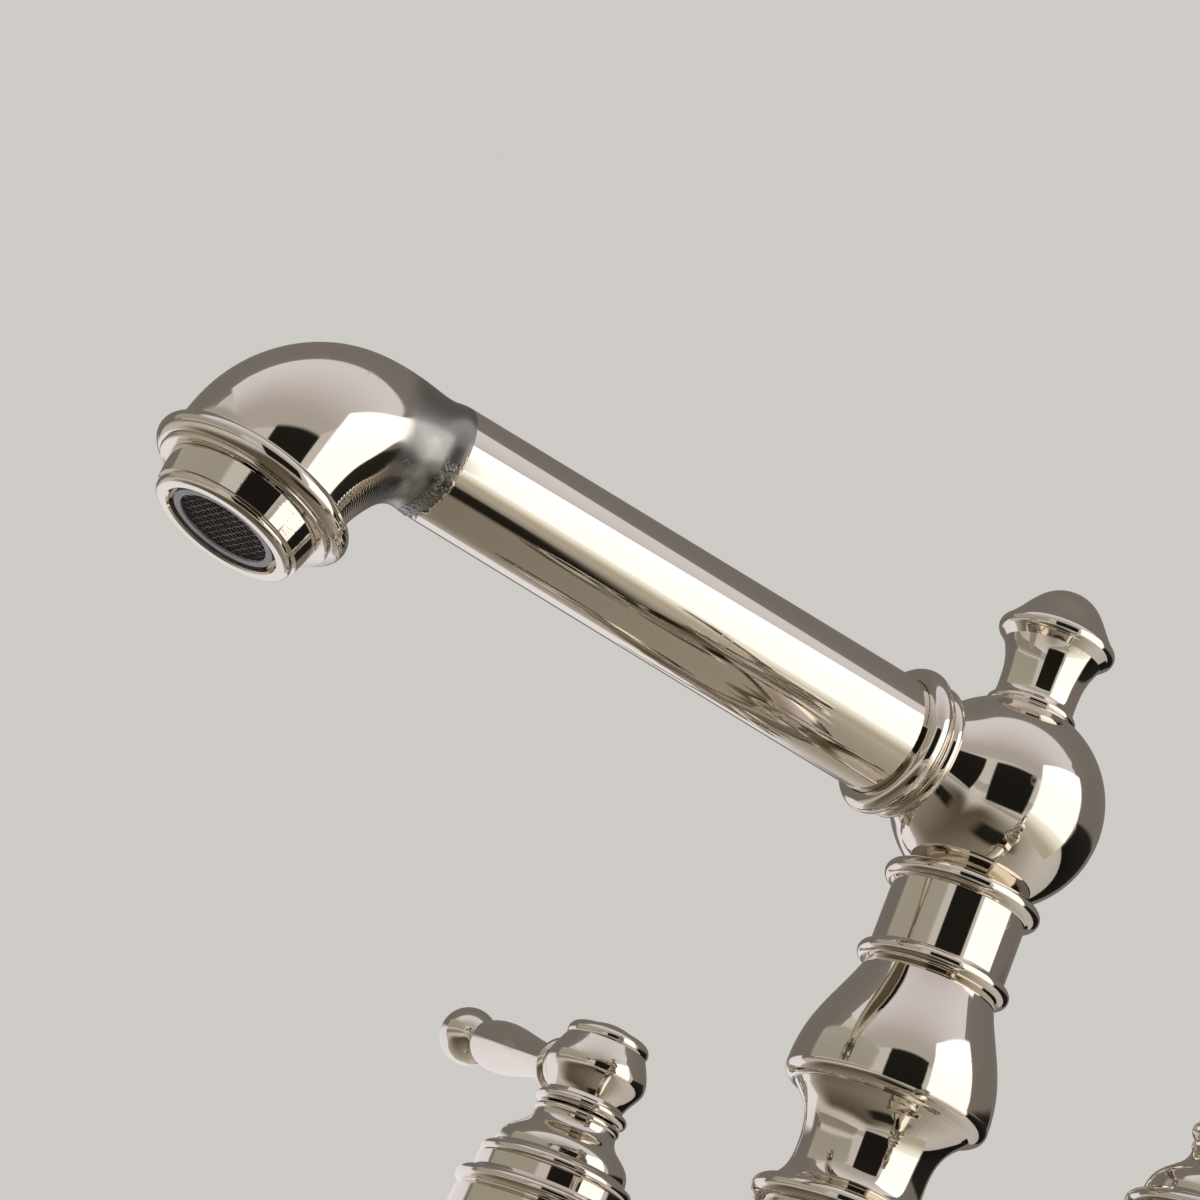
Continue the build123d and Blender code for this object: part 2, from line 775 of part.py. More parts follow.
def valve_frame(side):
    """Drawing plane and turning axis of one valve column."""
    plane = Plane(origin=(side * valve_x, 0, 0), x_dir=(1, 0, 0), z_dir=(0, -1, 0))
    return plane, Axis((side * valve_x, 0, 0), (0, 0, 1))


def valve_level(side, height):
    """Level plane centred on one valve column."""
    return Plane(origin=(side * valve_x, 0, height), x_dir=(1, 0, 0), z_dir=(0, 0, 1))


def make_valve_body(name, side):
    """Turned column with the cartridge chamber, side port and tail thread."""
    plane, axis = valve_frame(side)
    with BuildPart() as body:
        with BuildSketch(plane):
            with BuildLine():
                base_top = flange_top + 2 * base_bead_r
                waist_bottom = waist_height - waist_bead_r
                waist_top = waist_height + waist_bead_r
                crown_bottom = crown_height - crown_bead_r
                crown_top = crown_height + crown_bead_r
                Line((0, flange_top), (column_r + step, flange_top))
                bead(column_r + step, flange_top + base_bead_r, base_bead_r)
                Polyline(
                    (column_r + step, base_top),
                    (column_r, base_top + step),
                    (column_r, waist_bottom - step),
                    (column_r + step, waist_bottom),
                )
                bead(column_r + step, waist_height, waist_bead_r)
                Spline(
                    (column_r + step, waist_top),
                    (chamber_wall_r, seat_height),
                    tangents=((0, 1), (0, 1)),
                )
                ThreePointArc(
                    (chamber_wall_r, seat_height),
                    (chamber_wall_r + chamber_bulge, bridge_height),
                    (chamber_wall_r, shoulder_height),
                )
                Polyline(
                    (chamber_wall_r, shoulder_height),
                    (chamber_wall_r - step, shoulder_height + step),
                    (chamber_wall_r - step, crown_bottom),
                )
                bead(chamber_wall_r - step, crown_height, crown_bead_r)
                Polyline(
                    (chamber_wall_r - step, crown_top),
                    (top_land_r, crown_top + step),
                    (top_land_r, valve_top),
                    (0, valve_top),
                    (0, flange_top),
                )
            make_face()
        revolve(axis=axis)
        with BuildSketch(Plane.YZ.offset(side * valve_x)):
            with Locations((0, bridge_height)):
                Circle(port_thread_r)
        extrude(amount=-side * port_face)
        with BuildSketch(Plane.YZ.offset(side * valve_x)):
            with Locations((0, bridge_height)):
                Circle(water_bore_r)
        extrude(amount=-side * port_face, mode=Mode.SUBTRACT)
        with BuildSketch(valve_level(side, seat_height)):
            Circle(chamber_r)
        extrude(amount=valve_top - seat_height, mode=Mode.SUBTRACT)
        with BuildSketch(valve_level(side, flange_top)):
            Circle(stem_bore_r)
        extrude(amount=seat_height - flange_top, mode=Mode.SUBTRACT)
        with BuildSketch(valve_level(side, flange_top)):
            Circle(supply_thread_r + fit)
        extrude(amount=shank_top - flange_top, mode=Mode.SUBTRACT)
    save(body, f"{name}_valve_body")


def make_cartridge(name, side):
    """Seal, two ceramic discs, housing, spindle and spindle ring of one valve."""
    with BuildPart() as seal:
        with BuildSketch(valve_level(side, seat_height)):
            Circle(seal_r)
            Circle(stem_bore_r, mode=Mode.SUBTRACT)
        extrude(amount=seal_thickness)
    save(seal, f"{name}_cartridge_seal")

    with BuildPart() as fixed_disc:
        with BuildSketch(valve_level(side, fixed_disc_bottom)):
            Circle(disc_r)
            with PolarLocations(disc_slot_circle_r, 2, start_angle=90):
                SlotOverall(disc_slot_length, disc_slot_width, mode=Mode.SUBTRACT)
        extrude(amount=disc_thickness)
    save(fixed_disc, f"{name}_fixed_disc")

    with BuildPart() as moving_disc:
        with BuildSketch(valve_level(side, moving_disc_bottom)):
            Circle(disc_r - 2 * fit)
            with PolarLocations(disc_notch_circle_r, 2, start_angle=0):
                Rectangle(disc_notch, disc_notch, mode=Mode.SUBTRACT)
            with PolarLocations(peg_centre, 2, start_angle=90):
                Circle(peg_r + fit, mode=Mode.SUBTRACT)
        extrude(amount=disc_thickness)
    save(moving_disc, f"{name}_moving_disc")

    plane, axis = valve_frame(side)
    with BuildPart() as housing:
        with BuildSketch(plane):
            with BuildLine():
                Polyline(
                    (sleeve_bore_r, fixed_disc_bottom),
                    (sleeve_r, fixed_disc_bottom),
                    (sleeve_r, cartridge_thread_bottom),
                    (chamber_r - fit, cartridge_thread_bottom + step),
                    (chamber_r - fit, valve_top),
                    (cartridge_neck_r, valve_top),
                    (cartridge_neck_r, cartridge_top),
                    (spindle_r + fit, cartridge_top),
                    (spindle_r + fit, sleeve_top),
                    (sleeve_bore_r, sleeve_top),
                    close=True,
                )
            make_face()
        revolve(axis=axis)
        with BuildSketch(valve_level(side, valve_top)):
            RegularPolygon(hex_flats / 2, 6, major_radius=False)
            Circle(spindle_r + fit, mode=Mode.SUBTRACT)
        extrude(amount=hex_height)
        with BuildSketch(valve_level(side, foot_bottom + window_edge)):
            Rectangle(4 * sleeve_r, sleeve_r)
        extrude(amount=foot_height - 2 * window_edge, mode=Mode.SUBTRACT)
    save(housing, f"{name}_cartridge_body")

    with BuildPart() as spindle:
        with BuildSketch(valve_level(side, foot_bottom)):
            Circle(disc_r - foot_r_clearance)
            with PolarLocations(foot_notch_circle_r, 2, start_angle=0):
                Rectangle(disc_notch, disc_notch, mode=Mode.SUBTRACT)
        extrude(amount=foot_height)
        with BuildSketch(valve_level(side, foot_bottom)):
            with PolarLocations(peg_centre, 2, start_angle=90):
                Circle(peg_r)
        extrude(amount=-disc_thickness / 2)
        with BuildSketch(valve_level(side, foot_bottom)):
            Circle(spindle_r)
        extrude(amount=spline_bottom - foot_bottom)
        with BuildSketch(valve_level(side, spline_bottom)):
            RegularPolygon(spindle_r, spline_corners)
        extrude(amount=stem_top - spline_bottom)
        with BuildSketch(valve_level(side, screw_hole_bottom)):
            Circle(screw_r + fit)
        extrude(amount=stem_top - screw_hole_bottom, mode=Mode.SUBTRACT)
        with BuildSketch(valve_level(side, stem_ring_height - stem_ring_r - fit)):
            Circle(spindle_r + step)
            Circle(spindle_r - 2 * stem_ring_r, mode=Mode.SUBTRACT)
        extrude(amount=2 * (stem_ring_r + fit), mode=Mode.SUBTRACT)
    save(spindle, f"{name}_valve_stem")

    with BuildPart() as ring:
        with BuildSketch(plane):
            with Locations((spindle_r - stem_ring_r, stem_ring_height)):
                Circle(stem_ring_r)
        revolve(axis=axis)
    save(ring, f"{name}_stem_o_ring")


# Bonnet dimensions
bonnet_base_r = 14.6
bonnet_bead_r = 1.4
bonnet_skirt_r = 13.8
bonnet_bore_r = 12.6
bonnet_middle_r = 10.6
bonnet_middle_rise = 8.8
bonnet_middle = (bonnet_middle_r, valve_top + bonnet_middle_rise)
bonnet_neck_r = 8.6
bonnet_rim = 1.6
bonnet_hole_r = 4.6
cover_gap = 0.3            # air between the bonnet and the cartridge


def make_bonnet(name, side):
    """Turned cover over the cartridge, screwed on its neck."""
    plane, axis = valve_frame(side)
    with BuildPart() as bonnet:
        with BuildSketch(plane):
            with BuildLine():
                base_top = valve_top + 2 * bonnet_bead_r
                neck_top = bonnet_top - bonnet_rim
                hex_clear = valve_top + hex_height + cover_gap
                Line((bonnet_bore_r, valve_top), (bonnet_base_r, valve_top))
                bead(bonnet_base_r, valve_top + bonnet_bead_r, bonnet_bead_r)
                Line((bonnet_base_r, base_top), (bonnet_skirt_r, base_top + step))
                Spline(
                    (bonnet_skirt_r, base_top + step),
                    bonnet_middle,
                    (bonnet_neck_r, neck_top),
                    tangents=((0, 1), (0, 1)),
                )
                ThreePointArc(
                    (bonnet_neck_r, neck_top),
                    (bonnet_neck_r + edge, (neck_top + bonnet_top) / 2),
                    (bonnet_neck_r - edge, bonnet_top),
                )
                Polyline(
                    (bonnet_neck_r - edge, bonnet_top),
                    (bonnet_hole_r, bonnet_top),
                    (bonnet_hole_r, cartridge_top + cover_gap),
                    (cartridge_neck_r + fit, cartridge_top + cover_gap),
                    (cartridge_neck_r + fit, hex_clear),
                    (bonnet_bore_r, hex_clear),
                    (bonnet_bore_r, valve_top),
                )
            make_face()
        revolve(axis=axis)
    save(bonnet, f"{name}_bonnet")


# Handle dimensions, heights above the deck
hub_bottom = bonnet_top + turn_gap + fit
hub_base_r = 8.4
hub_bead_r = 1.2
hub_foot_r = 8.0
hub_belly_r = 10.4
hub_shoulder_r = 8.4
hub_shoulder_rise = 6.7    # heights above the place where the lever meets the hub
hub_shoulder = (hub_shoulder_r, handle_height + hub_shoulder_rise)
hub_rim_r = 7.0
hub_rim_rise = 9.5
hub_rim = handle_height + hub_rim_rise
screw_web = 2.0            # metal under the screw head
screw_head_bottom = hub_bore_top + screw_web
screw_head_height = 2.6
screw_head_top = screw_head_bottom + screw_head_height
screw_head_r = 3.7
screw_slot_length = 4.4
screw_slot_width = 1.0
screw_slot_depth = 1.4
screw_end_gap = 1.5
button_seat = screw_head_top + 4 * fit
button_r = 5.5
button_edge = 2.4
button_dome = 1.4
tenon_r = 2.6
tenon_start = 7.5          # distances from the valve axis along the lever
lever_start = 13.0
boss_r = 5.2
collar_length = 2.8
collar_bulge = 0.8
lever_waist = (20.0, 3.6)
lever_swell = (47.0, 4.9)
knob_length = 11.6
knob_start = lever_length - knob_length
knob_neck_r = 3.05


def make_handle(name, side):
    """Handle hub, lever, screw and index button of one valve."""
    plane, axis = valve_frame(side)
    root = Vector(side * valve_x, 0, handle_height)
    rise = radians(lever_rise)
    along = Vector(side * cos(rise), 0, sin(rise))
    lever_plane = Plane(origin=root, x_dir=along, z_dir=(0, -side, 0))
    lever_axis = Axis(root, along)

    def across(distance):
        """Plane square to the lever at this distance from the valve axis."""
        return Plane(origin=root + along * distance, z_dir=along)

    with BuildPart() as hub:
        with BuildSketch(plane):
            with BuildLine():
                base_top = hub_bottom + 2 * hub_bead_r
                Line((0, hub_bottom), (hub_base_r, hub_bottom))
                bead(hub_base_r, hub_bottom + hub_bead_r, hub_bead_r)
                Line((hub_base_r, base_top), (hub_foot_r, base_top + step))
                Spline(
                    (hub_foot_r, base_top + step),
                    (hub_belly_r, handle_height),
                    hub_shoulder,
                    tangents=((0.3, 1), (-0.5, 1)),
                )
                TangentArc(hub_shoulder, (hub_rim_r, hub_rim), tangent=(0.5, 1))
                Polyline(
                    (hub_rim_r, hub_rim),
                    (button_r + fit, hub_rim),
                    (button_r + fit, button_seat),
                    (0, button_seat),
                    (0, hub_bottom),
                )
            make_face()
        revolve(axis=axis)
        with BuildSketch(across(0)):
            Circle(boss_r)
        extrude(amount=lever_start)
        with BuildSketch(across(tenon_start)):
            Circle(tenon_r + fit)
        extrude(amount=lever_start, mode=Mode.SUBTRACT)
        with BuildSketch(valve_level(side, hub_bottom)):
            Circle(spindle_r + fit)
        extrude(amount=hub_bore_top - hub_bottom, mode=Mode.SUBTRACT)
        with BuildSketch(valve_level(side, hub_bore_top)):
            Circle(screw_r + 2 * fit)
        extrude(amount=button_seat - hub_bore_top, mode=Mode.SUBTRACT)
        with BuildSketch(valve_level(side, screw_head_bottom)):
            Circle(screw_head_r + turn_gap)
        extrude(amount=button_seat - screw_head_bottom, mode=Mode.SUBTRACT)
    save(hub, f"{name}_handle_hub")

    with BuildPart() as lever:
        with BuildSketch(lever_plane):
            with BuildLine():
                collar_end = lever_start + collar_length
                collar_end_r = boss_r - step
                Polyline(
                    (tenon_start, 0),
                    (tenon_start, tenon_r),
                    (lever_start, tenon_r),
                    (lever_start, boss_r),
                )
                ThreePointArc(
                    (lever_start, boss_r),
                    (lever_start + collar_length / 2, boss_r + collar_bulge),
                    (collar_end, collar_end_r),
                )
                Spline(
                    (collar_end, collar_end_r),
                    lever_waist,
                    lever_swell,
                    (knob_start, knob_neck_r),
                    tangents=((1, -0.8), (1, -0.5)),
                )
                TangentArc((lever_length, 0), (knob_start, knob_neck_r), tangent=(0, 1))
                Line((lever_length, 0), (tenon_start, 0))
            make_face()
        revolve(axis=lever_axis)
    save(lever, f"{name}_handle_lever")

    with BuildPart() as screw:
        with BuildSketch(valve_level(side, screw_hole_bottom + screw_end_gap)):
            Circle(screw_r)
        extrude(amount=screw_head_bottom - screw_hole_bottom - screw_end_gap)
        with BuildSketch(valve_level(side, screw_head_bottom)):
            Circle(screw_head_r)
        extrude(amount=screw_head_top - screw_head_bottom)
        with BuildSketch(valve_level(side, screw_head_top)):
            Rectangle(screw_slot_length, screw_slot_width)
            Rectangle(screw_slot_width, screw_slot_length)
        extrude(amount=-screw_slot_depth, mode=Mode.SUBTRACT)
    save(screw, f"{name}_handle_screw")

    with BuildPart() as button:
        with BuildSketch(plane):
            with BuildLine():
                dome_start = button_seat + button_edge
                dome_top = dome_start + button_dome
                Polyline((0, button_seat), (button_r, button_seat), (button_r, dome_start))
                TangentArc((0, dome_top), (button_r, dome_start), tangent=(1, 0))
                Line((0, dome_top), (0, button_seat))
            make_face()
        revolve(axis=axis)
    save(button, f"{name}_index_button")


# Deck fixing dimensions
deck_flange_r = 27.0
flange_edge_height = 2.4   # straight edge of the escutcheon above the deck
flange_step_inset = 1.8
flange_step_height = 4.2
flange_step = (deck_flange_r - flange_step_inset, flange_step_height)
flange_foot_r = flange_step[0] - step
flange_curve_r = 17.0
flange_curve_height = 10.6
flange_curve = (flange_curve_r, flange_curve_height)
flange_neck_r = 14.8
flange_neck_land = 2.8
flange_neck_height = flange_top - flange_neck_land
gasket_thickness = 1.5
gasket_inset = 3.4
gasket_r = deck_flange_r - gasket_inset
cup_inset = 2.6
cup_r = gasket_r - cup_inset
cup_neck_r = 12.4
cup_neck_drop = 5.0
cup_wall = (14.0, 9.6)
cup_foot_rise = 1.9
flange_cup = (
    (cup_neck_r, flange_top - cup_neck_drop),
    cup_wall,
    (cup_r - step, gasket_thickness + cup_foot_rise),
    (cup_r, gasket_thickness),
)
shank_clearance = 0.4
shank_hole_r = supply_thread_r + shank_clearance
shank_bevel = 0.8
washer_r = 20.0
mounting_washer_thickness = 2.0
lock_nut_height = 8.0
lock_nut_flats = 32.0
lock_nut_bevel = 1.4
inlet_length = 15.0        # free end below the lock nut
relief_r = 9.9             # groove between the fixing thread and the inlet thread
relief_length = 2.5
clamped_length = deck_thickness + mounting_washer_thickness + lock_nut_height
relief_top = -clamped_length - edge
relief_bottom = relief_top - relief_length
shank_bottom = -clamped_length - inlet_length


def make_deck_fixing(name, side):
    """Escutcheon, gasket, threaded tail, washer and lock nut of one deck hole."""
    plane, axis = valve_frame(side)
    with BuildPart() as flange:
        with BuildSketch(plane):
            with BuildLine():
                rim_foot = (flange_neck_r, flange_top - 3 * step)
                rim_edge = (flange_neck_r, flange_top)
                Polyline(
                    (gasket_r, 0),
                    (deck_flange_r - 2 * edge, 0),
                    (deck_flange_r, 2 * edge),
                    (deck_flange_r, flange_edge_height),
                )
                TangentArc((deck_flange_r, flange_edge_height), flange_step, tangent=(0, 1))
                Line(flange_step, (flange_foot_r, flange_step[1] + edge))
                Spline(
                    (flange_foot_r, flange_step[1] + edge),
                    flange_curve,
                    rim_foot,
                    tangents=((-0.6, 1), (0, 1)),
                )
                ThreePointArc(
                    rim_foot, (flange_neck_r + 1.5 * step, flange_top - 1.5 * step), rim_edge
                )
                Polyline(
                    rim_edge,
                    (shank_hole_r, flange_top),
                    (shank_hole_r, flange_neck_height),
                    *flange_cup,
                    (gasket_r, gasket_thickness),
                    (gasket_r, 0),
                )
            make_face()
        revolve(axis=axis)
    save(flange, f"{name}_deck_flange")

    with BuildPart() as gasket:
        with BuildSketch(valve_level(side, 0)):
            Circle(gasket_r - fit)
            Circle(shank_hole_r, mode=Mode.SUBTRACT)
        extrude(amount=gasket_thickness)
    save(gasket, f"{name}_deck_gasket")

    with BuildPart() as shank:
        with BuildSketch(plane):
            with BuildLine():
                Polyline(
                    (stem_bore_r, shank_top),
                    (supply_thread_r - shank_bevel, shank_top),
                    (supply_thread_r, shank_top - shank_bevel),
                    (supply_thread_r, relief_top),
                    (relief_r, relief_top),
                    (relief_r, relief_bottom),
                    (supply_thread_r, relief_bottom),
                    (supply_thread_r, shank_bottom + shank_bevel),
                    (supply_thread_r - shank_bevel, shank_bottom),
                    (stem_bore_r, shank_bottom),
                    close=True,
                )
            make_face()
        revolve(axis=axis)
    save(shank, f"{name}_shank")

    with BuildPart() as washer:
        with BuildSketch(valve_level(side, -deck_thickness)):
            Circle(washer_r)
            Circle(shank_hole_r, mode=Mode.SUBTRACT)
        extrude(amount=-mounting_washer_thickness)
    save(washer, f"{name}_mounting_washer")

    nut_top_level = -deck_thickness - mounting_washer_thickness
    with BuildPart() as nut:
        with BuildSketch(valve_level(side, nut_top_level)):
            RegularPolygon(lock_nut_flats / 2, 6, major_radius=False)
        extrude(amount=-lock_nut_height)
        with BuildSketch(plane):
            with BuildLine():
                nut_bottom_level = nut_top_level - lock_nut_height
                Polyline(
                    (0, nut_top_level),
                    (lock_nut_flats / 2 - edge, nut_top_level),
                    (corner_r(lock_nut_flats), nut_top_level - lock_nut_bevel),
                    (corner_r(lock_nut_flats), nut_bottom_level + lock_nut_bevel),
                    (lock_nut_flats / 2 - edge, nut_bottom_level),
                    (0, nut_bottom_level),
                    close=True,
                )
            make_face()
        revolve(axis=axis, mode=Mode.INTERSECT)
        with BuildSketch(valve_level(side, nut_top_level)):
            Circle(supply_thread_r + fit)
        extrude(amount=-lock_nut_height, mode=Mode.SUBTRACT)
    save(nut, f"{name}_lock_nut")


for name, side in sides:
    make_valve_body(name, side)
    make_cartridge(name, side)
    make_bonnet(name, side)
    make_handle(name, side)
    make_deck_fixing(name, side)
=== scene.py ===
import math

import bmesh
import bpy
import numpy
from mathutils import Matrix, Vector, noise


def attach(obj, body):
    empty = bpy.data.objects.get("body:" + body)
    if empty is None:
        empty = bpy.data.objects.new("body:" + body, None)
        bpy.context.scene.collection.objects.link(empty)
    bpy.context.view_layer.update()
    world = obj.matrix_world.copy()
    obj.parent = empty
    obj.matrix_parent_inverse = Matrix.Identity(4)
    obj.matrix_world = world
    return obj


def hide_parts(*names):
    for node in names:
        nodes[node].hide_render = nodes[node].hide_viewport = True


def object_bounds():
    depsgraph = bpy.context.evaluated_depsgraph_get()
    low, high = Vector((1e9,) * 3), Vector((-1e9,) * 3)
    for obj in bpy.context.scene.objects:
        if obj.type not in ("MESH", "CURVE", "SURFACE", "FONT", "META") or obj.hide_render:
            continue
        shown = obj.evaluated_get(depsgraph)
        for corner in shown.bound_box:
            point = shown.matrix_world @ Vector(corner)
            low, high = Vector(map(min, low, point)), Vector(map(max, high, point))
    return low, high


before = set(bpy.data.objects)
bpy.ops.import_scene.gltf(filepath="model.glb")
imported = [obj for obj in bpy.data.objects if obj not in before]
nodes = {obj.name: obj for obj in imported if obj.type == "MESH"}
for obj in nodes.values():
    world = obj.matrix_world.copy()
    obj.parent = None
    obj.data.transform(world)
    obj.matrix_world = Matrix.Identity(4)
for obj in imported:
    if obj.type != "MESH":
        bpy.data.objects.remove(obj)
cad_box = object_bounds()


# Camera. It stands on the right in front of the faucet and below the spout, looks up at the ball
# that the spout turns on, and leans to one side, so that the spout crosses the picture.
camera_azimuth = math.radians(63.21)
camera_elevation = math.radians(-17.614)
camera_roll = math.radians(22.475)
camera_place = Vector((0.58766, -0.38775, -0.0372))
camera_data = bpy.data.cameras.new("camera")
camera_data.lens = 120.0
camera_data.sensor_width = 36.0
camera_data.clip_start = 0.01
camera = bpy.data.objects.new("camera", camera_data)
camera_turn = (
    Matrix.Rotation(camera_azimuth, 3, "Z")
    @ Matrix.Rotation(math.pi / 2 - camera_elevation, 3, "X")
    @ Matrix.Rotation(camera_roll, 3, "Z")
)
camera.matrix_world = Matrix.LocRotScale(camera_place, camera_turn, None)
bpy.context.scene.collection.objects.link(camera)
bpy.context.scene.camera = camera
bpy.context.scene.view_settings.view_transform = "Standard"


# Room and floor. The floor is a plain painted sheet that just clears the threaded tails. The room
# is one pale colour, to the camera and in the polished metal alike.
class Value:
    """A node's output. Used in a sum, it adds the Math nodes that the sum needs."""

    def __init__(self, finish, socket):
        self.finish = finish
        self.socket = socket

    def maths(self, operation, first, second):
        return self.finish.node("ShaderNodeMath", {"operation": operation}, {0: first, 1: second})

    def output(self, name):
        return Value(self.finish, self.socket.node.outputs[name])

    def __add__(self, other):
        return self.maths("ADD", self, other)

    def __radd__(self, other):
        return self.maths("ADD", other, self)

    def __sub__(self, other):
        return self.maths("SUBTRACT", self, other)

    def __rsub__(self, other):
        return self.maths("SUBTRACT", other, self)

    def __mul__(self, other):
        return self.maths("MULTIPLY", self, other)

    def __rmul__(self, other):
        return self.maths("MULTIPLY", other, self)

    def __pow__(self, other):
        return self.maths("POWER", self, other)


class Finish:
    """The node tree of a material or of the room, and the one way that nodes are added to it."""

    def __init__(self, owner):
        owner.use_nodes = True
        self.owner = owner
        self.tree = owner.node_tree
        self.tree.nodes.clear()

    def node(self, kind, settings, inputs, output=0):
        made = self.tree.nodes.new(kind)
        for name, setting in settings.items():
            setattr(made, name, setting)
        for name, given in inputs.items():
            if isinstance(given, Value):
                self.tree.links.new(given.socket, made.inputs[name])
            else:
                made.inputs[name].default_value = given
        return Value(self, made.outputs[output]) if made.outputs else made

    def fade(self, value, start, end):
        """From 0 at start to 1 at end, with a soft beginning and end."""
        return self.node(
            "ShaderNodeMapRange",
            {"interpolation_type": "SMOOTHSTEP"},
            {"Value": value, "From Min": start, "From Max": end},
        )

    def blend(self, share, first, second):
        """A colour between two colours."""
        return self.node("ShaderNodeMix", {"data_type": "RGBA"}, {0: share, 6: first, 7: second}, 2)


room_colour = (0.62, 0.60, 0.57, 1.0)
plain_colour = (0.62, 0.61, 0.60, 1.0)
floor_gap = 0.0005
floor_level = cad_box[0].z - floor_gap
floor_reach = 6.0

world = bpy.data.worlds.new("room")
bpy.context.scene.world = world
room = Finish(world)
way = room.node("ShaderNodeLightPath", {}, {}, "Is Camera Ray")
shown = way + way.output("Is Glossy Ray") + way.output("Is Transmission Ray")
plain_light = room.node("ShaderNodeBackground", {}, {"Color": plain_colour, "Strength": 1.0})
shown_room = room.node("ShaderNodeBackground", {}, {"Color": room_colour, "Strength": 1.0})
room_light = room.node("ShaderNodeMixShader", {}, {0: shown, 1: plain_light, 2: shown_room})
room.node("ShaderNodeOutputWorld", {}, {"Surface": room_light})

floor_mesh = bpy.data.meshes.new("floor")
floor_shape = bmesh.new()
floor_place = Matrix.Translation((0, 0, floor_level))
bmesh.ops.create_grid(floor_shape, x_segments=1, y_segments=1, size=floor_reach, matrix=floor_place)
floor_shape.to_mesh(floor_mesh)
floor_shape.free()
floor = bpy.data.objects.new("floor", floor_mesh)
bpy.context.scene.collection.objects.link(floor)
floor_paint = Finish(bpy.data.materials.new("floor_paint"))
floor_spot = floor_paint.node("ShaderNodeTexCoord", {}, {}, "Object")
floor_speckle = floor_paint.node("ShaderNodeTexNoise", {}, {"Vector": floor_spot, "Scale": 400.0})
floor_colour = floor_paint.blend(floor_speckle, (0.66, 0.64, 0.61, 1.0), (0.70, 0.68, 0.65, 1.0))
floor_shader = floor_paint.node(
    "ShaderNodeBsdfPrincipled",
    {},
    {"Base Color": floor_colour, "Roughness": 0.7, "Specular IOR Level": 0.1},
)
floor_paint.node("ShaderNodeOutputMaterial", {}, {"Surface": floor_shader})
floor_mesh.materials.append(floor_paint.owner)


# Studio lamps and cards. Three soft lamps light the floor, the plastic and the rubber. The polished
# metal mirrors soft-edged cards instead: white screens, a ceiling, a backdrop and dark flags.
ball_centre = Vector((0, 0, 0.178))


def direction(longitude, latitude):
    """The way from the ball. Longitude 0 is along -Y and 90 along +X; latitude is upwards."""
    lon, lat = math.radians(longitude), math.radians(latitude)
    return Vector((math.sin(lon) * math.cos(lat), -math.cos(lon) * math.cos(lat), math.sin(lat)))


def facing(longitude, latitude, distance):
    """A place seen from the ball, turned so that its -Z looks at the ball and its X is level."""
    place = ball_centre + distance * direction(longitude, latitude)
    return Matrix.LocRotScale(place, (ball_centre - place).to_track_quat("-Z", "Y"), None)


def lamp(name, place, width, height, radiance, colour):
    data = bpy.data.lights.new(name, "AREA")
    data.shape = "RECTANGLE"
    data.size, data.size_y = width, height
    data.energy = radiance * math.pi * width * height
    data.color = colour
    made = bpy.data.objects.new(name, data)
    made.matrix_world = place
    made.visible_camera = False
    made.visible_glossy = False
    bpy.context.scene.collection.objects.link(made)


def card(name, place, width, height, colour, top_colour, softness):
    """A glowing card that only mirrors see. Its colour shades to another at its upper edge, and
    softness is the share of its size over which each edge fades."""
    mesh = bpy.data.meshes.new(name)
    shape = bmesh.new()
    bmesh.ops.create_grid(shape, x_segments=1, y_segments=1, size=0.5)
    shape.to_mesh(mesh)
    shape.free()
    made = bpy.data.objects.new(name, mesh)
    made.matrix_world = place @ Matrix.Diagonal((width, height, 1, 1))
    bpy.context.scene.collection.objects.link(made)
    made.visible_camera = False
    made.visible_diffuse = False
    made.visible_shadow = False
    made.visible_transmission = False
    paint = Finish(bpy.data.materials.new(name))
    spot = paint.node("ShaderNodeTexCoord", {}, {}, "Object")
    along = paint.node("ShaderNodeSeparateXYZ", {}, {0: spot})
    up = along.output("Y")
    side_gap = 0.5 - paint.node("ShaderNodeMath", {"operation": "ABSOLUTE"}, {0: along})
    edge_gap = 0.5 - paint.node("ShaderNodeMath", {"operation": "ABSOLUTE"}, {0: up})
    solid = paint.fade(side_gap, 0.0, softness) * paint.fade(edge_gap, 0.0, softness)
    shade = paint.blend(paint.fade(up, -0.2, 0.45), (*colour, 1), (*top_colour, 1))
    glow = paint.node("ShaderNodeEmission", {}, {"Color": shade, "Strength": 1.0})
    clear = paint.node("ShaderNodeBsdfTransparent", {}, {})
    surface = paint.node("ShaderNodeMixShader", {}, {0: solid, 1: clear, 2: glow})
    paint.node("ShaderNodeOutputMaterial", {}, {"Surface": surface})
    mesh.materials.append(paint.owner)


screen_turn = (-direction(121, 0)).to_track_quat("-Z", "Y")
white_screen = Matrix.LocRotScale(ball_centre + Vector((0.283, 0.168, 0.115)), screen_turn, None)
screen_foot = Matrix.LocRotScale(ball_centre + Vector((0.286, 0.166, -0.140)), screen_turn, None)
left_turn = Vector((1, 0, 0)).to_track_quat("-Z", "Y")
left_screen = Matrix.LocRotScale(Vector((-0.30, -0.02, 0.06)), left_turn, None)
shadow_turn = Matrix.Rotation(math.radians(-108), 4, "Z")
deck_shadow = Matrix.Translation((0.172, -0.056, floor_level + 0.010)) @ shadow_turn
ceiling_turn = Matrix.Rotation(math.radians(56.6), 4, "Z")
ceiling = Matrix.Translation(ball_centre + Vector((0.568, -0.374, 0.7))) @ ceiling_turn
table = Matrix.Translation((0.05, -0.1, floor_level + 0.004))
camera_card = facing(65, 3.5, 0.46)
backdrop = facing(-123.4, 17, 0.65)
back_flag = facing(-165, -8, 0.7)
front_low_card = facing(-10, -25, 0.9)
front_high_card = facing(-10, 15, 0.95)
beige_shelf = facing(80, -26, 0.55)

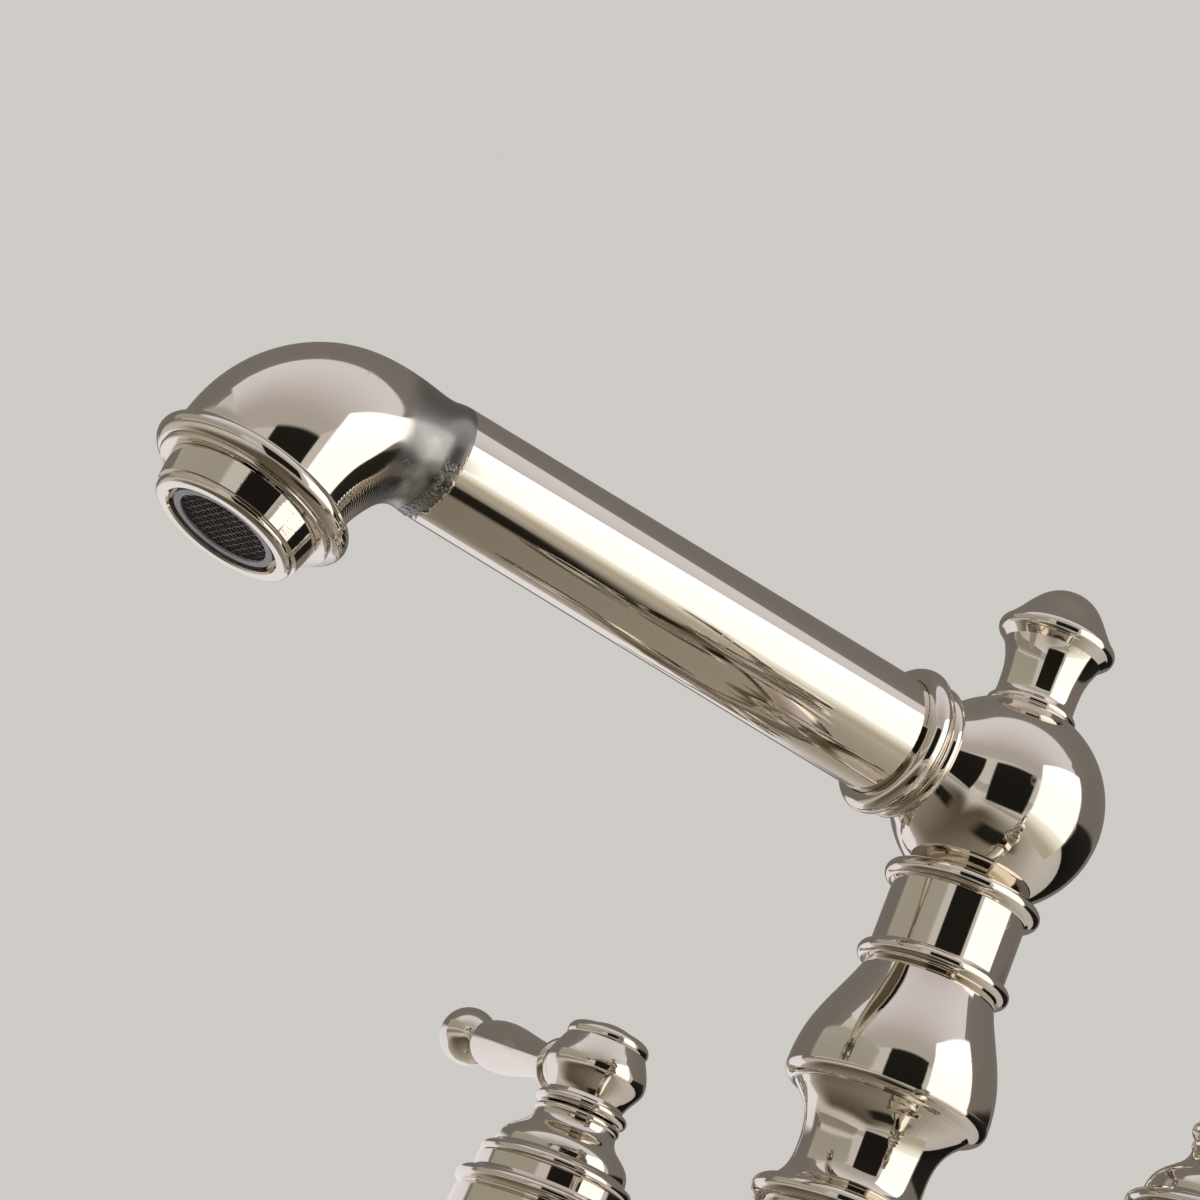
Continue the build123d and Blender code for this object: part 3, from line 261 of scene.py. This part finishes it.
lamp("right_lamp", facing(118, 30, 0.9), 0.5, 0.5, 3.0, (1.0, 0.985, 0.96))
lamp("left_lamp", facing(-85, 25, 1.0), 0.6, 0.5, 2.0, (0.95, 0.95, 1.0))
lamp("front_lamp", facing(20, 10, 1.2), 0.7, 0.7, 1.5, (1.0, 0.97, 0.93))
card("white_screen", white_screen, 0.369, 0.39, (1.5, 1.48, 1.42), (1.7, 1.68, 1.66), 0.05)
card("screen_foot", screen_foot, 0.369, 0.17, (0.50, 0.45, 0.36), (1.15, 1.12, 1.02), 0.03)
card("camera_card", camera_card, 0.39, 0.39, (0.012, 0.011, 0.009), (0.015, 0.013, 0.010), 0.05)
card("ceiling", ceiling, 2.0, 1.3, (0.47, 0.44, 0.41), (0.78, 0.75, 0.80), 0.02)
card("backdrop", backdrop, 9.5, 9.5, (0.17, 0.15, 0.135), (0.26, 0.245, 0.23), 0.001)
card("back_flag", back_flag, 1.5, 0.55, (0.010, 0.009, 0.008), (0.02, 0.018, 0.016), 0.1)
card("left_screen", left_screen, 0.34, 0.21, (0.92, 0.90, 0.95), (0.85, 0.83, 0.89), 0.12)
card("front_low_card", front_low_card, 1.7, 0.8, (0.25, 0.21, 0.15), (0.30, 0.27, 0.21), 0.1)
card("front_high_card", front_high_card, 1.7, 0.5, (0.38, 0.36, 0.30), (0.42, 0.40, 0.35), 0.1)
card("beige_shelf", beige_shelf, 0.95, 0.13, (0.36, 0.33, 0.28), (0.40, 0.37, 0.32), 0.2)
card("deck_shadow", deck_shadow, 0.30, 0.15, (0.015, 0.013, 0.010), (0.02, 0.018, 0.014), 0.25)
card("table", table, 0.9, 0.8, (0.11, 0.09, 0.06), (0.46, 0.42, 0.35), 0.3)


# Spout elbow: one brass casting, polished and nickel plated. It swells from a narrow neck at the
# tube to the outlet flange, and the spigot inside the tube is soldered in.
elbow_segments = 96
joint_start = 0.129194
spigot_start = 0.119194
spigot_radius = 0.0094
water_radius = 0.0075
bend_start = 0.132494
bend_radius = 0.026
bend_turn = math.radians(77.6)
bend_centre = Vector((0, -bend_start, ball_centre.z - bend_radius))
outlet_lean = math.radians(12.4)
outlet_up = Vector((0, math.sin(outlet_lean), math.cos(outlet_lean)))
lip_centre = Vector((0, -0.16001, 0.14792))

# The skin at each share of the bend's turn: its radius, and how far its centre lies outside the
# bend's middle line, in millimetres. Shares below 0 are on the straight collar.
bend_stations = (
    (-0.0937, 10.65, 0.0),
    (-0.07, 10.62, -0.02),
    (0.0, 10.3, -0.15),
    (0.1, 10.75, 0.0),
    (0.2, 11.75, 0.25),
    (0.4, 14.05, 0.7),
    (0.6, 15.55, 0.95),
    (0.8, 16.2, 0.8),
    (1.0, 16.15, 0.2),
)


def smooth_curve(places, values):
    """The natural cubic curve through values at places."""
    steps = numpy.diff(places)
    slopes = numpy.diff(values) / steps
    rows = numpy.eye(len(places))
    sums = numpy.zeros(len(places))
    for i in range(1, len(places) - 1):
        rows[i, i - 1 : i + 2] = steps[i - 1], 2 * (steps[i - 1] + steps[i]), steps[i]
        sums[i] = 6 * (slopes[i] - slopes[i - 1])
    bends = numpy.linalg.solve(rows, sums)

    def value_at(place):
        i = int(numpy.clip(numpy.searchsorted(places, place) - 1, 0, len(steps) - 1))
        before, after, step = place - places[i], places[i + 1] - place, steps[i]
        start = bends[i] * (after**3 / step - step * after) / 6 + values[i] * after / step
        end = bends[i + 1] * (before**3 / step - step * before) / 6 + values[i + 1] * before / step
        return float(start + end)

    return value_at


def hoop(centre, angle, radius):
    """A unit circle's matrix: square to -Y at angle 0, and turned about X towards -Z."""
    turn = Matrix.Rotation(math.pi / 2 + angle, 4, "X")
    return Matrix.Translation(centre) @ turn @ Matrix.Diagonal((radius, radius, 1, 1))


def bend_hoop(share, shift, radius):
    """A hoop on the bend at this share of its turn, or on the straight collar before it."""
    angle = bend_turn * max(share, 0)
    outwards = Vector((0, -math.sin(angle), math.cos(angle)))
    along = Vector((0, -min(share, 0) * bend_turn * bend_radius, 0))
    return hoop(bend_centre + along + outwards * (bend_radius + shift), angle, radius)


def tube_hoop(distance, radius):
    return hoop(ball_centre + Vector((0, -distance, 0)), 0, radius)


def outlet_hoop(radius, height):
    """A hoop square to the outlet's axis, this far above the aerator's lip, in millimetres."""
    return hoop(lip_centre + outlet_up * height * 0.001, bend_turn, radius * 0.001)


def arc(start, middle, end, count):
    """Points of the circle's arc through three points, from just after start to end."""
    (ax, ay), (bx, by), (cx, cy) = start, middle, end
    turn = 2 * (ax * (by - cy) + bx * (cy - ay) + cx * (ay - by))
    a, b, c = ax * ax + ay * ay, bx * bx + by * by, cx * cx + cy * cy
    x = (a * (by - cy) + b * (cy - ay) + c * (ay - by)) / turn
    y = (a * (cx - bx) + b * (ax - cx) + c * (bx - ax)) / turn
    first, last = math.atan2(ay - y, ax - x), math.atan2(cy - y, cx - x)
    past = math.atan2(by - y, bx - x)
    around = (last - first) % math.tau
    if (past - first) % math.tau > around:
        around -= math.tau
    size = math.hypot(ax - x, ay - y)
    angles = [first + around * i / count for i in range(1, count + 1)]
    return [(x + size * math.cos(t), y + size * math.sin(t)) for t in angles]


def ring_skin(shape, hoops, segments):
    """A closed skin over hoops, from the first round to the first again."""
    made = bmesh.ops.create_circle(shape, segments=segments, radius=1.0, matrix=hoops[0])["verts"]
    edges = list(dict.fromkeys(edge for vert in made for edge in vert.link_edges))
    start = edges
    for before, after in zip(hoops, hoops[1:]):
        made = bmesh.ops.extrude_edge_only(shape, edges=edges)["geom"]
        verts = [item for item in made if isinstance(item, bmesh.types.BMVert)]
        edges = [item for item in made if isinstance(item, bmesh.types.BMEdge) and item.is_boundary]
        bmesh.ops.transform(shape, matrix=after @ before.inverted(), verts=verts)
    bmesh.ops.bridge_loops(shape, edges=start + edges)


def finished_piece(name, shape, finish, sharp_angle):
    """The mesh made an object, with its faces turned outwards and its corners kept crisp."""
    bmesh.ops.recalc_face_normals(shape, faces=shape.faces)
    mesh = bpy.data.meshes.new(name)
    shape.to_mesh(mesh)
    shape.free()
    mesh.shade_smooth()
    mesh.set_sharp_from_angle(angle=math.radians(sharp_angle))
    mesh.materials.append(finish)
    piece = bpy.data.objects.new(name, mesh)
    bpy.context.scene.collection.objects.link(piece)
    return piece


nickel_colour = (0.81, 0.75, 0.67, 1)
cloudy_nickel_colour = (0.775, 0.715, 0.635, 1)
dried_water_colour = (0.62, 0.60, 0.56, 1)
# The darker grey that the hazed neck by the joint is blended towards.
haze_grey_colour = (0.33, 0.32, 0.305, 1)
buffing_line_height = 0.0000002
swell_height = 0.000012


def nickel(name, grain, marks=None, haze=None):
    """Polished nickel. Grain is the way that its fine buffing lines are drawn out, marks adds the
    heights in metres of what only this piece has, and haze says where it is dull and grey."""
    finish = Finish(bpy.data.materials.new(name))
    spot = finish.node("ShaderNodeTexCoord", {}, {}, "Object")
    cloud = finish.node("ShaderNodeTexNoise", {}, {"Vector": spot, "Scale": 70.0, "Detail": 5.0})
    drawn = finish.node("ShaderNodeMapping", {}, {"Vector": spot, "Scale": grain})
    lines = finish.node(
        "ShaderNodeTexNoise",
        {},
        {"Vector": drawn, "Scale": 9000.0, "Detail": 3.0, "Roughness": 0.6},
    )
    swell = finish.node("ShaderNodeTexNoise", {}, {"Vector": spot, "Scale": 55.0, "Detail": 1.0})
    dried = finish.node("ShaderNodeTexVoronoi", {}, {"Vector": spot, "Scale": 160.0})
    drops = finish.fade(dried, 0.24, 0.20) * finish.fade(cloud, 0.50, 0.62)
    rim = drops * finish.fade(dried, 0.15, 0.20)
    colour = finish.blend(cloud, nickel_colour, cloudy_nickel_colour)
    colour = finish.blend(rim * 0.12, colour, dried_water_colour)
    rough = 0.022 + cloud * 0.03 + lines * 0.02 + rim * 0.10 + drops * 0.03
    if haze is not None:
        dull = haze(finish, spot, cloud)
        colour = finish.blend(dull, colour, haze_grey_colour)
        rough = rough + dull * 0.22
    height = lines * buffing_line_height + swell * swell_height
    if marks is not None:
        height = height + marks(finish, spot)
    bump = finish.node("ShaderNodeBump", {}, {"Height": height, "Strength": 1.0, "Distance": 1.0})
    shader = finish.node(
        "ShaderNodeBsdfPrincipled",
        {},
        {"Base Color": colour, "Metallic": 1.0, "Roughness": rough, "Normal": bump},
    )
    finish.node("ShaderNodeOutputMaterial", {}, {"Surface": shader})
    return finish.owner


# Where the marks fade in: the ribs by their distance from the bend's centre, the rough solder by
# its distance from the joint's middle and its height, and the haze along the spout.
rib_edge = (0.0180, 0.0158)
rib_height = 0.000014
joint_middle = 0.1302
rough_edge = (0.0026, 0.0008)
rough_level = (0.1765, 0.1725)
crumb_height = 0.0003
haze_edge = (-0.1445, -0.1395)


def casting_marks(finish, spot):
    """Fine ribs left by the wheel inside the bend, and rough solder under the joint."""
    split = finish.node("ShaderNodeSeparateXYZ", {}, {0: spot})
    y, z = split.output("Y"), split.output("Z")
    ahead, above = bend_centre.y - y, z - bend_centre.z
    angle = finish.node("ShaderNodeMath", {"operation": "ARCTAN2"}, {0: ahead, 1: above})
    from_centre = (ahead * ahead + above * above) ** 0.5
    wander = finish.node("ShaderNodeTexNoise", {}, {"Vector": spot, "Scale": 300.0, "Detail": 2.0})
    ribs = finish.node("ShaderNodeMath", {"operation": "SINE"}, {0: angle * 150.0 + wander * 6.0})
    inside = finish.fade(from_centre, *rib_edge)
    crumbs = finish.node("ShaderNodeTexNoise", {}, {"Vector": spot, "Scale": 900.0, "Detail": 4.0})
    joint_gap = finish.node("ShaderNodeMath", {"operation": "ABSOLUTE"}, {0: y + joint_middle})
    rough_joint = finish.fade(joint_gap, *rough_edge) * finish.fade(z, *rough_level)
    solder = finish.fade(crumbs, 0.42, 0.62) * rough_joint * crumb_height
    return ribs * inside * rib_height + solder


def joint_haze(finish, spot, cloud):
    """The neck by the joint, made duller and blended towards a darker grey in patches, with a
    ragged edge.
    """
    y = finish.node("ShaderNodeSeparateXYZ", {}, {0: spot}, "Y")
    ragged = y + (cloud - 0.5) * 0.006
    return finish.fade(ragged, *haze_edge) * (1.0 - finish.fade(cloud, 0.55, 0.75) * 0.5)


shares = [station[0] for station in bend_stations]
skin_radius = smooth_curve(shares, [station[1] * 0.001 for station in bend_stations])
skin_shift = smooth_curve(shares, [station[2] * 0.001 for station in bend_stations])
collar_shares = [shares[0] * (1 - i / 8) for i in range(8)]
bend_shares = [i / 64 for i in range(65)]
outer_hoops = [bend_hoop(s, skin_shift(s), skin_radius(s)) for s in collar_shares + bend_shares]
throat_shares = [0.9 * (1 - i / 12) for i in range(13)]
throat_hoops = [bend_hoop(s, 0, water_radius + 0.003 * s) for s in throat_shares]
seat_radius = 11.9
seat_hoops = [
    outlet_hoop(seat_radius, 9.9),
    outlet_hoop(seat_radius, 13.6),
    outlet_hoop(10.3, 13.6),
]
spigot_hoops = [
    tube_hoop(spigot_start, water_radius),
    tube_hoop(spigot_start, spigot_radius),
    tube_hoop(joint_start, spigot_radius),
]
flange_outline = [(seat_radius, 6.4), (15.7, 6.4)]
flange_outline += arc((15.7, 6.4), (16.5, 6.85), (16.2, 7.3), 8)
flange_outline += [(16.9, 7.3)]
flange_outline += arc((16.9, 7.3), (18.5, 9.2), (16.9, 11.3), 24)
flange_outline += [(seat_radius, 11.3)]
elbow_shape = bmesh.new()
ring_skin(elbow_shape, outer_hoops + seat_hoops + throat_hoops + spigot_hoops, elbow_segments)
ring_skin(elbow_shape, [outlet_hoop(*point) for point in flange_outline], 2 * elbow_segments)
elbow_nickel = nickel("elbow_nickel", (1.0, 0.08, 0.08), marks=casting_marks, haze=joint_haze)
elbow = finished_piece("elbow_casting", elbow_shape, elbow_nickel, 32)
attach(elbow, "spout")
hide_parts("spout_elbow")


# Solder at the tube's joint: the thin, lumpy ring that was squeezed out where the tube's end meets
# the elbow's collar. It ran to the lower side, was cleaned off above, and is plated with them.
solder_place = 0.12935
solder_radius = 0.01058
solder_half_width = 0.00028
solder_half_depth = 0.00022
lump_height = 0.00022
lump_spread = 0.00045
cleaned_depth = 0.0005
solder_profile = [(math.cos(t), math.sin(t)) for t in [math.tau * i / 8 for i in range(8)]]
solder_hoops = [
    tube_hoop(solder_place + solder_half_width * a, solder_radius + solder_half_depth * b)
    for a, b in solder_profile
]
solder_shape = bmesh.new()
ring_skin(solder_shape, solder_hoops, 220)
for vert in solder_shape.verts:
    away = Vector((vert.co.x, 0, vert.co.z - ball_centre.z)).normalized()
    below = max(0.0, 0.35 - away.z)
    lump = noise.noise(vert.co * 900.0) + 0.6 * noise.noise(vert.co * 2300.0)
    cleaned = min(1.0, max(0.0, (away.z + 0.1) / 0.3))
    push = away * (lump_height * lump * below - cleaned_depth * cleaned)
    vert.co += push + Vector((0, lump_spread * lump * below, 0))
solder_nickel = nickel("solder_nickel", (1.0, 1.0, 1.0))
solder = finished_piece("solder_ring", solder_shape, solder_nickel, 60)
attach(solder, "spout")


# Spout tube and ferrule: drawn brass tube, slightly tapered, held in the ball by a turned sleeve
# with two beads. Both are buffed round the tube, so their finest lines run round it.
def dress(names, finish):
    for name in names:
        for slot in nodes[name].material_slots:
            slot.material = finish


dress(["spout_tube", "spout_ferrule"], nickel("tube_nickel", (0.08, 1.0, 0.08)))


# Ball hub, finial, swivel nut and column: turned brass on one upright axis, polished and plated.
# Their buffing lines run round that axis.
upright_nickel = nickel("upright_nickel", (0.08, 0.08, 1.0))
dress(["spout_hub", "finial", "swivel_nut", "riser_column"], upright_nickel)


# Port collar: the cove by which the ball may run out to the ferrule's small bead, turned from the
# ball's brass and polished with it. The solids have a plain ball here.
cove_start = (13.575, 14.305)
cove_middle = (16.06, 12.42)
cove_end = (18.9, 11.14)
collar_profile = [(13.45, 14.42), cove_start]
collar_profile += arc(cove_start, cove_middle, cove_end, 16)
collar_profile += [(19.7, 10.88), (19.7, 10.3), (13.45, 10.3)]
collar_hoops = [tube_hoop(s * 0.001, r * 0.001) for s, r in collar_profile]
collar_shape = bmesh.new()
ring_skin(collar_shape, collar_hoops, 192)
port_collar = finished_piece("port_collar", collar_shape, upright_nickel, 32)
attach(port_collar, "spout")


# Aerator shell: turned brass, nickel plated, screwed up into the outlet. Its band is plain, with
# faint marks of the key that tightens it.
scuff_height = 0.000004


def key_marks(finish, spot):
    """Short scuffs round the band where the key was fitted."""
    centred = finish.node("ShaderNodeMapping", {}, {"Vector": spot, "Location": -lip_centre})
    drawn = finish.node("ShaderNodeMapping", {}, {"Vector": centred, "Scale": (0.25, 0.25, 1.0)})
    scuffs = finish.node(
        "ShaderNodeTexNoise", {}, {"Vector": drawn, "Scale": 1800.0, "Detail": 2.0}
    )
    return finish.fade(scuffs, 0.58, 0.66) * scuff_height


dress(["aerator_shell"], nickel("aerator_nickel", (0.08, 0.2, 1.0), marks=key_marks))


# Aerator insert, regulator and screen: a lavender-grey moulded housing, a disc of small jets, and
# a fine woven net across the mouth, of dull wire whose dark colour is painted shade.
def moulded(name, colour, dusty_colour, roughness, grain_scale):
    """Moulded plastic or rubber with a fine spark-eroded skin and a little dust."""
    finish = Finish(bpy.data.materials.new(name))
    spot = finish.node("ShaderNodeTexCoord", {}, {}, "Object")
    cloud = finish.node("ShaderNodeTexNoise", {}, {"Vector": spot, "Scale": 220.0, "Detail": 4.0})
    grain = finish.node(
        "ShaderNodeTexNoise", {}, {"Vector": spot, "Scale": grain_scale, "Detail": 2.0}
    )
    surface = finish.blend(finish.fade(cloud, 0.42, 0.68), colour, dusty_colour)
    bump = finish.node(
        "ShaderNodeBump", {}, {"Height": grain * 0.00002, "Strength": 0.6, "Distance": 1.0}
    )
    shader = finish.node(
        "ShaderNodeBsdfPrincipled",
        {},
        {"Base Color": surface, "Roughness": cloud * 0.2 + roughness, "Normal": bump},
    )
    finish.node("ShaderNodeOutputMaterial", {}, {"Surface": shader})
    return finish.owner


grey_housing = moulded("grey_housing", (0.27, 0.262, 0.29, 1), (0.34, 0.33, 0.35, 1), 0.25, 3000.0)
dark_disc = moulded("dark_disc", (0.006, 0.006, 0.006, 1), (0.012, 0.011, 0.010, 1), 0.5, 3000.0)
dress(["aerator_insert"], grey_housing)
dress(["flow_regulator"], dark_disc)

wire_pitch = 0.0012
wire_radius = 0.00016
wire_lift = 0.00009
net_height = 0.00118
net_radius = 0.0087
net_half_rows = 7
outlet_tilt = Matrix.Rotation(-outlet_lean, 4, "X")
net_frame = Matrix.Translation(lip_centre + outlet_up * net_height) @ outlet_tilt
wire_upright = Matrix.Rotation(math.pi / 2, 4, "Y")
wire_upright = wire_upright @ Matrix.Diagonal((wire_radius, wire_radius, 1, 1))
net_shape = bmesh.new()
for turned in (0, 1):
    for row in range(-net_half_rows, net_half_rows):
        across = (row + 0.5) * wire_pitch
        half = math.sqrt(net_radius**2 - across**2)
        count = 2 * math.ceil(half / (wire_pitch / 4))
        spots = [-half + 2 * half * i / count for i in range(count + 1)]
        wave = math.pi * (row + turned)
        lifts = [wire_lift * math.cos(math.pi * (s / wire_pitch - 0.5) + wave) for s in spots]
        lay = net_frame @ Matrix.Rotation(turned * math.pi / 2, 4, "Z")
        wire_places = [
            lay @ Matrix.Translation((s, across, z)) @ wire_upright for s, z in zip(spots, lifts)
        ]
        made = bmesh.ops.create_circle(
            net_shape, cap_ends=True, segments=6, radius=1.0, matrix=wire_places[0]
        )["verts"]
        edges = list(dict.fromkeys(edge for vert in made for edge in vert.link_edges))
        for before, after in zip(wire_places, wire_places[1:]):
            made = bmesh.ops.extrude_edge_only(net_shape, edges=edges)["geom"]
            verts = [item for item in made if isinstance(item, bmesh.types.BMVert)]
            edges = [
                item for item in made if isinstance(item, bmesh.types.BMEdge) and item.is_boundary
            ]
            bmesh.ops.transform(net_shape, matrix=after @ before.inverted(), verts=verts)
        bmesh.ops.contextual_create(net_shape, geom=edges)


def dull_steel(name, colour, dull_colour, roughness):
    """Plain steel with a dull film that is thicker in patches."""
    finish = Finish(bpy.data.materials.new(name))
    spot = finish.node("ShaderNodeTexCoord", {}, {}, "Object")
    cloud = finish.node("ShaderNodeTexNoise", {}, {"Vector": spot, "Scale": 380.0, "Detail": 5.0})
    grain = finish.node("ShaderNodeTexNoise", {}, {"Vector": spot, "Scale": 6000.0, "Detail": 2.0})
    film = finish.fade(cloud, 0.40, 0.66)
    surface = finish.blend(film, colour, dull_colour)
    bump = finish.node("ShaderNodeBump", {}, {"Height": grain * 0.000008, "Distance": 1.0})
    shader = finish.node(
        "ShaderNodeBsdfPrincipled",
        {},
        {
            "Base Color": surface,
            "Metallic": 1.0 - film * 0.45,
            "Roughness": film * 0.25 + roughness,
            "Normal": bump,
        },
    )
    finish.node("ShaderNodeOutputMaterial", {}, {"Surface": shader})
    return finish.owner


# Painted shade: the wire is far darker than plain steel, for the shade deep in the mouth; its
# patchy dull film is its own.
net_metal_painted_shade = dull_steel("net_wire_painted_shade", (0.16, 0.15, 0.14, 1), (0.07, 0.065, 0.06, 1), 0.35)
net = finished_piece("woven_net", net_shape, net_metal_painted_shade, 70)
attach(net, "spout")
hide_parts("aerator_screen")


# Bridge: a tee under the column and a drawn tube to each side, pulled up against its washer by a
# hexagon union nut. All are nickel plated brass, buffed round their own level axis.
def both(*parts):
    """The names of these parts on the hot side and on the cold side."""
    return [side + "_" + part for side in ("hot", "cold") for part in parts]


dress(["bridge_tee"], nickel("tee_nickel", (0.3, 0.3, 0.3)))
dress(both("bridge_tube", "union_nut"), nickel("level_nickel", (1.0, 0.08, 0.08)))


# Valve columns: body, bonnet and deck flange, turned and plated, and the handle hub on top with
# its screw under a plain button. The buffing lines run round each column.
column_nickel = nickel("column_nickel", (0.12, 0.12, 1.0))
dress(both("valve_body", "bonnet", "deck_flange", "handle_hub", "index_button"), column_nickel)


# Lever handles: forged brass, one screwed into the side of each hub. They are polished along their
# length and nickel plated.
dress(both("handle_lever"), nickel("lever_nickel", (0.08, 1.0, 1.0)))


# Fixings: shanks, lock nuts, stems and cartridge bodies are plain turned brass that has gone a
# little brown. The shanks carry a half-inch pipe thread, fourteen turns to the inch.
half_pitch = 0.000907


def brass(name, threaded):
    """Turned brass, tarnished in patches, with the bump of a thread where it is threaded."""
    finish = Finish(bpy.data.materials.new(name))
    spot = finish.node("ShaderNodeTexCoord", {}, {}, "Object")
    cloud = finish.node("ShaderNodeTexNoise", {}, {"Vector": spot, "Scale": 120.0, "Detail": 6.0})
    drawn = finish.node("ShaderNodeMapping", {}, {"Vector": spot, "Scale": (0.05, 0.05, 1.0)})
    turning = finish.node(
        "ShaderNodeTexNoise", {}, {"Vector": drawn, "Scale": 5000.0, "Detail": 2.0}
    )
    tarnish = finish.fade(cloud, 0.42, 0.70)
    surface = finish.blend(tarnish, (0.78, 0.56, 0.24, 1), (0.48, 0.32, 0.14, 1))
    height = turning * 0.000006
    if threaded:
        z = finish.node("ShaderNodeSeparateXYZ", {}, {0: spot}, "Z")
        ridge = finish.node("ShaderNodeMath", {"operation": "PINGPONG"}, {0: z, 1: half_pitch})
        height = height + ridge * 0.6
    bump = finish.node("ShaderNodeBump", {}, {"Height": height, "Distance": 1.0})
    shader = finish.node(
        "ShaderNodeBsdfPrincipled",
        {},
        {
            "Base Color": surface,
            "Metallic": 1.0 - tarnish * 0.25,
            "Roughness": tarnish * 0.25 + 0.22,
            "Normal": bump,
        },
    )
    finish.node("ShaderNodeOutputMaterial", {}, {"Surface": shader})
    return finish.owner


plain_brass = brass("turned_brass", False)
dress(both("shank"), brass("threaded_brass", True))
dress(["swivel_stem"] + both("lock_nut", "valve_stem", "cartridge_body"), plain_brass)


# Steel pieces: the washer under the deck and the screw that holds each handle. Both are bought
# parts of plain stamped or turned steel, a little dulled.
plain_steel = dull_steel("plain_steel", (0.56, 0.55, 0.53, 1), (0.40, 0.38, 0.35, 1), 0.28)
dress(both("mounting_washer", "handle_screw"), plain_steel)


# Seals and rings: moulded black rubber gaskets and O-rings, and pale nylon glide rings that the
# spout turns on. All are pushed into their grooves or seats.
black, dusty_black = (0.015, 0.015, 0.016, 1), (0.035, 0.033, 0.031, 1)
rubber = moulded("black_rubber_skin", black, dusty_black, 0.5, 2500.0)
nylon = moulded("nylon_skin", (0.72, 0.70, 0.64, 1), (0.62, 0.59, 0.52, 1), 0.35, 2000.0)
dress(["aerator_gasket", "upper_o_ring", "lower_o_ring"], rubber)
dress(both("deck_gasket", "stem_o_ring", "cartridge_seal", "union_washer"), rubber)
dress(["upper_glide_ring", "lower_glide_ring"], nylon)


# Ceramic discs: two lapped white discs in each cartridge, one fixed and one turned by the stem.
# They are fired ceramic, ground flat where they meet.
ceramic = moulded("lapped_ceramic", (0.80, 0.79, 0.76, 1), (0.74, 0.73, 0.70, 1), 0.08, 6000.0)
dress(both("fixed_disc", "moving_disc"), ceramic)
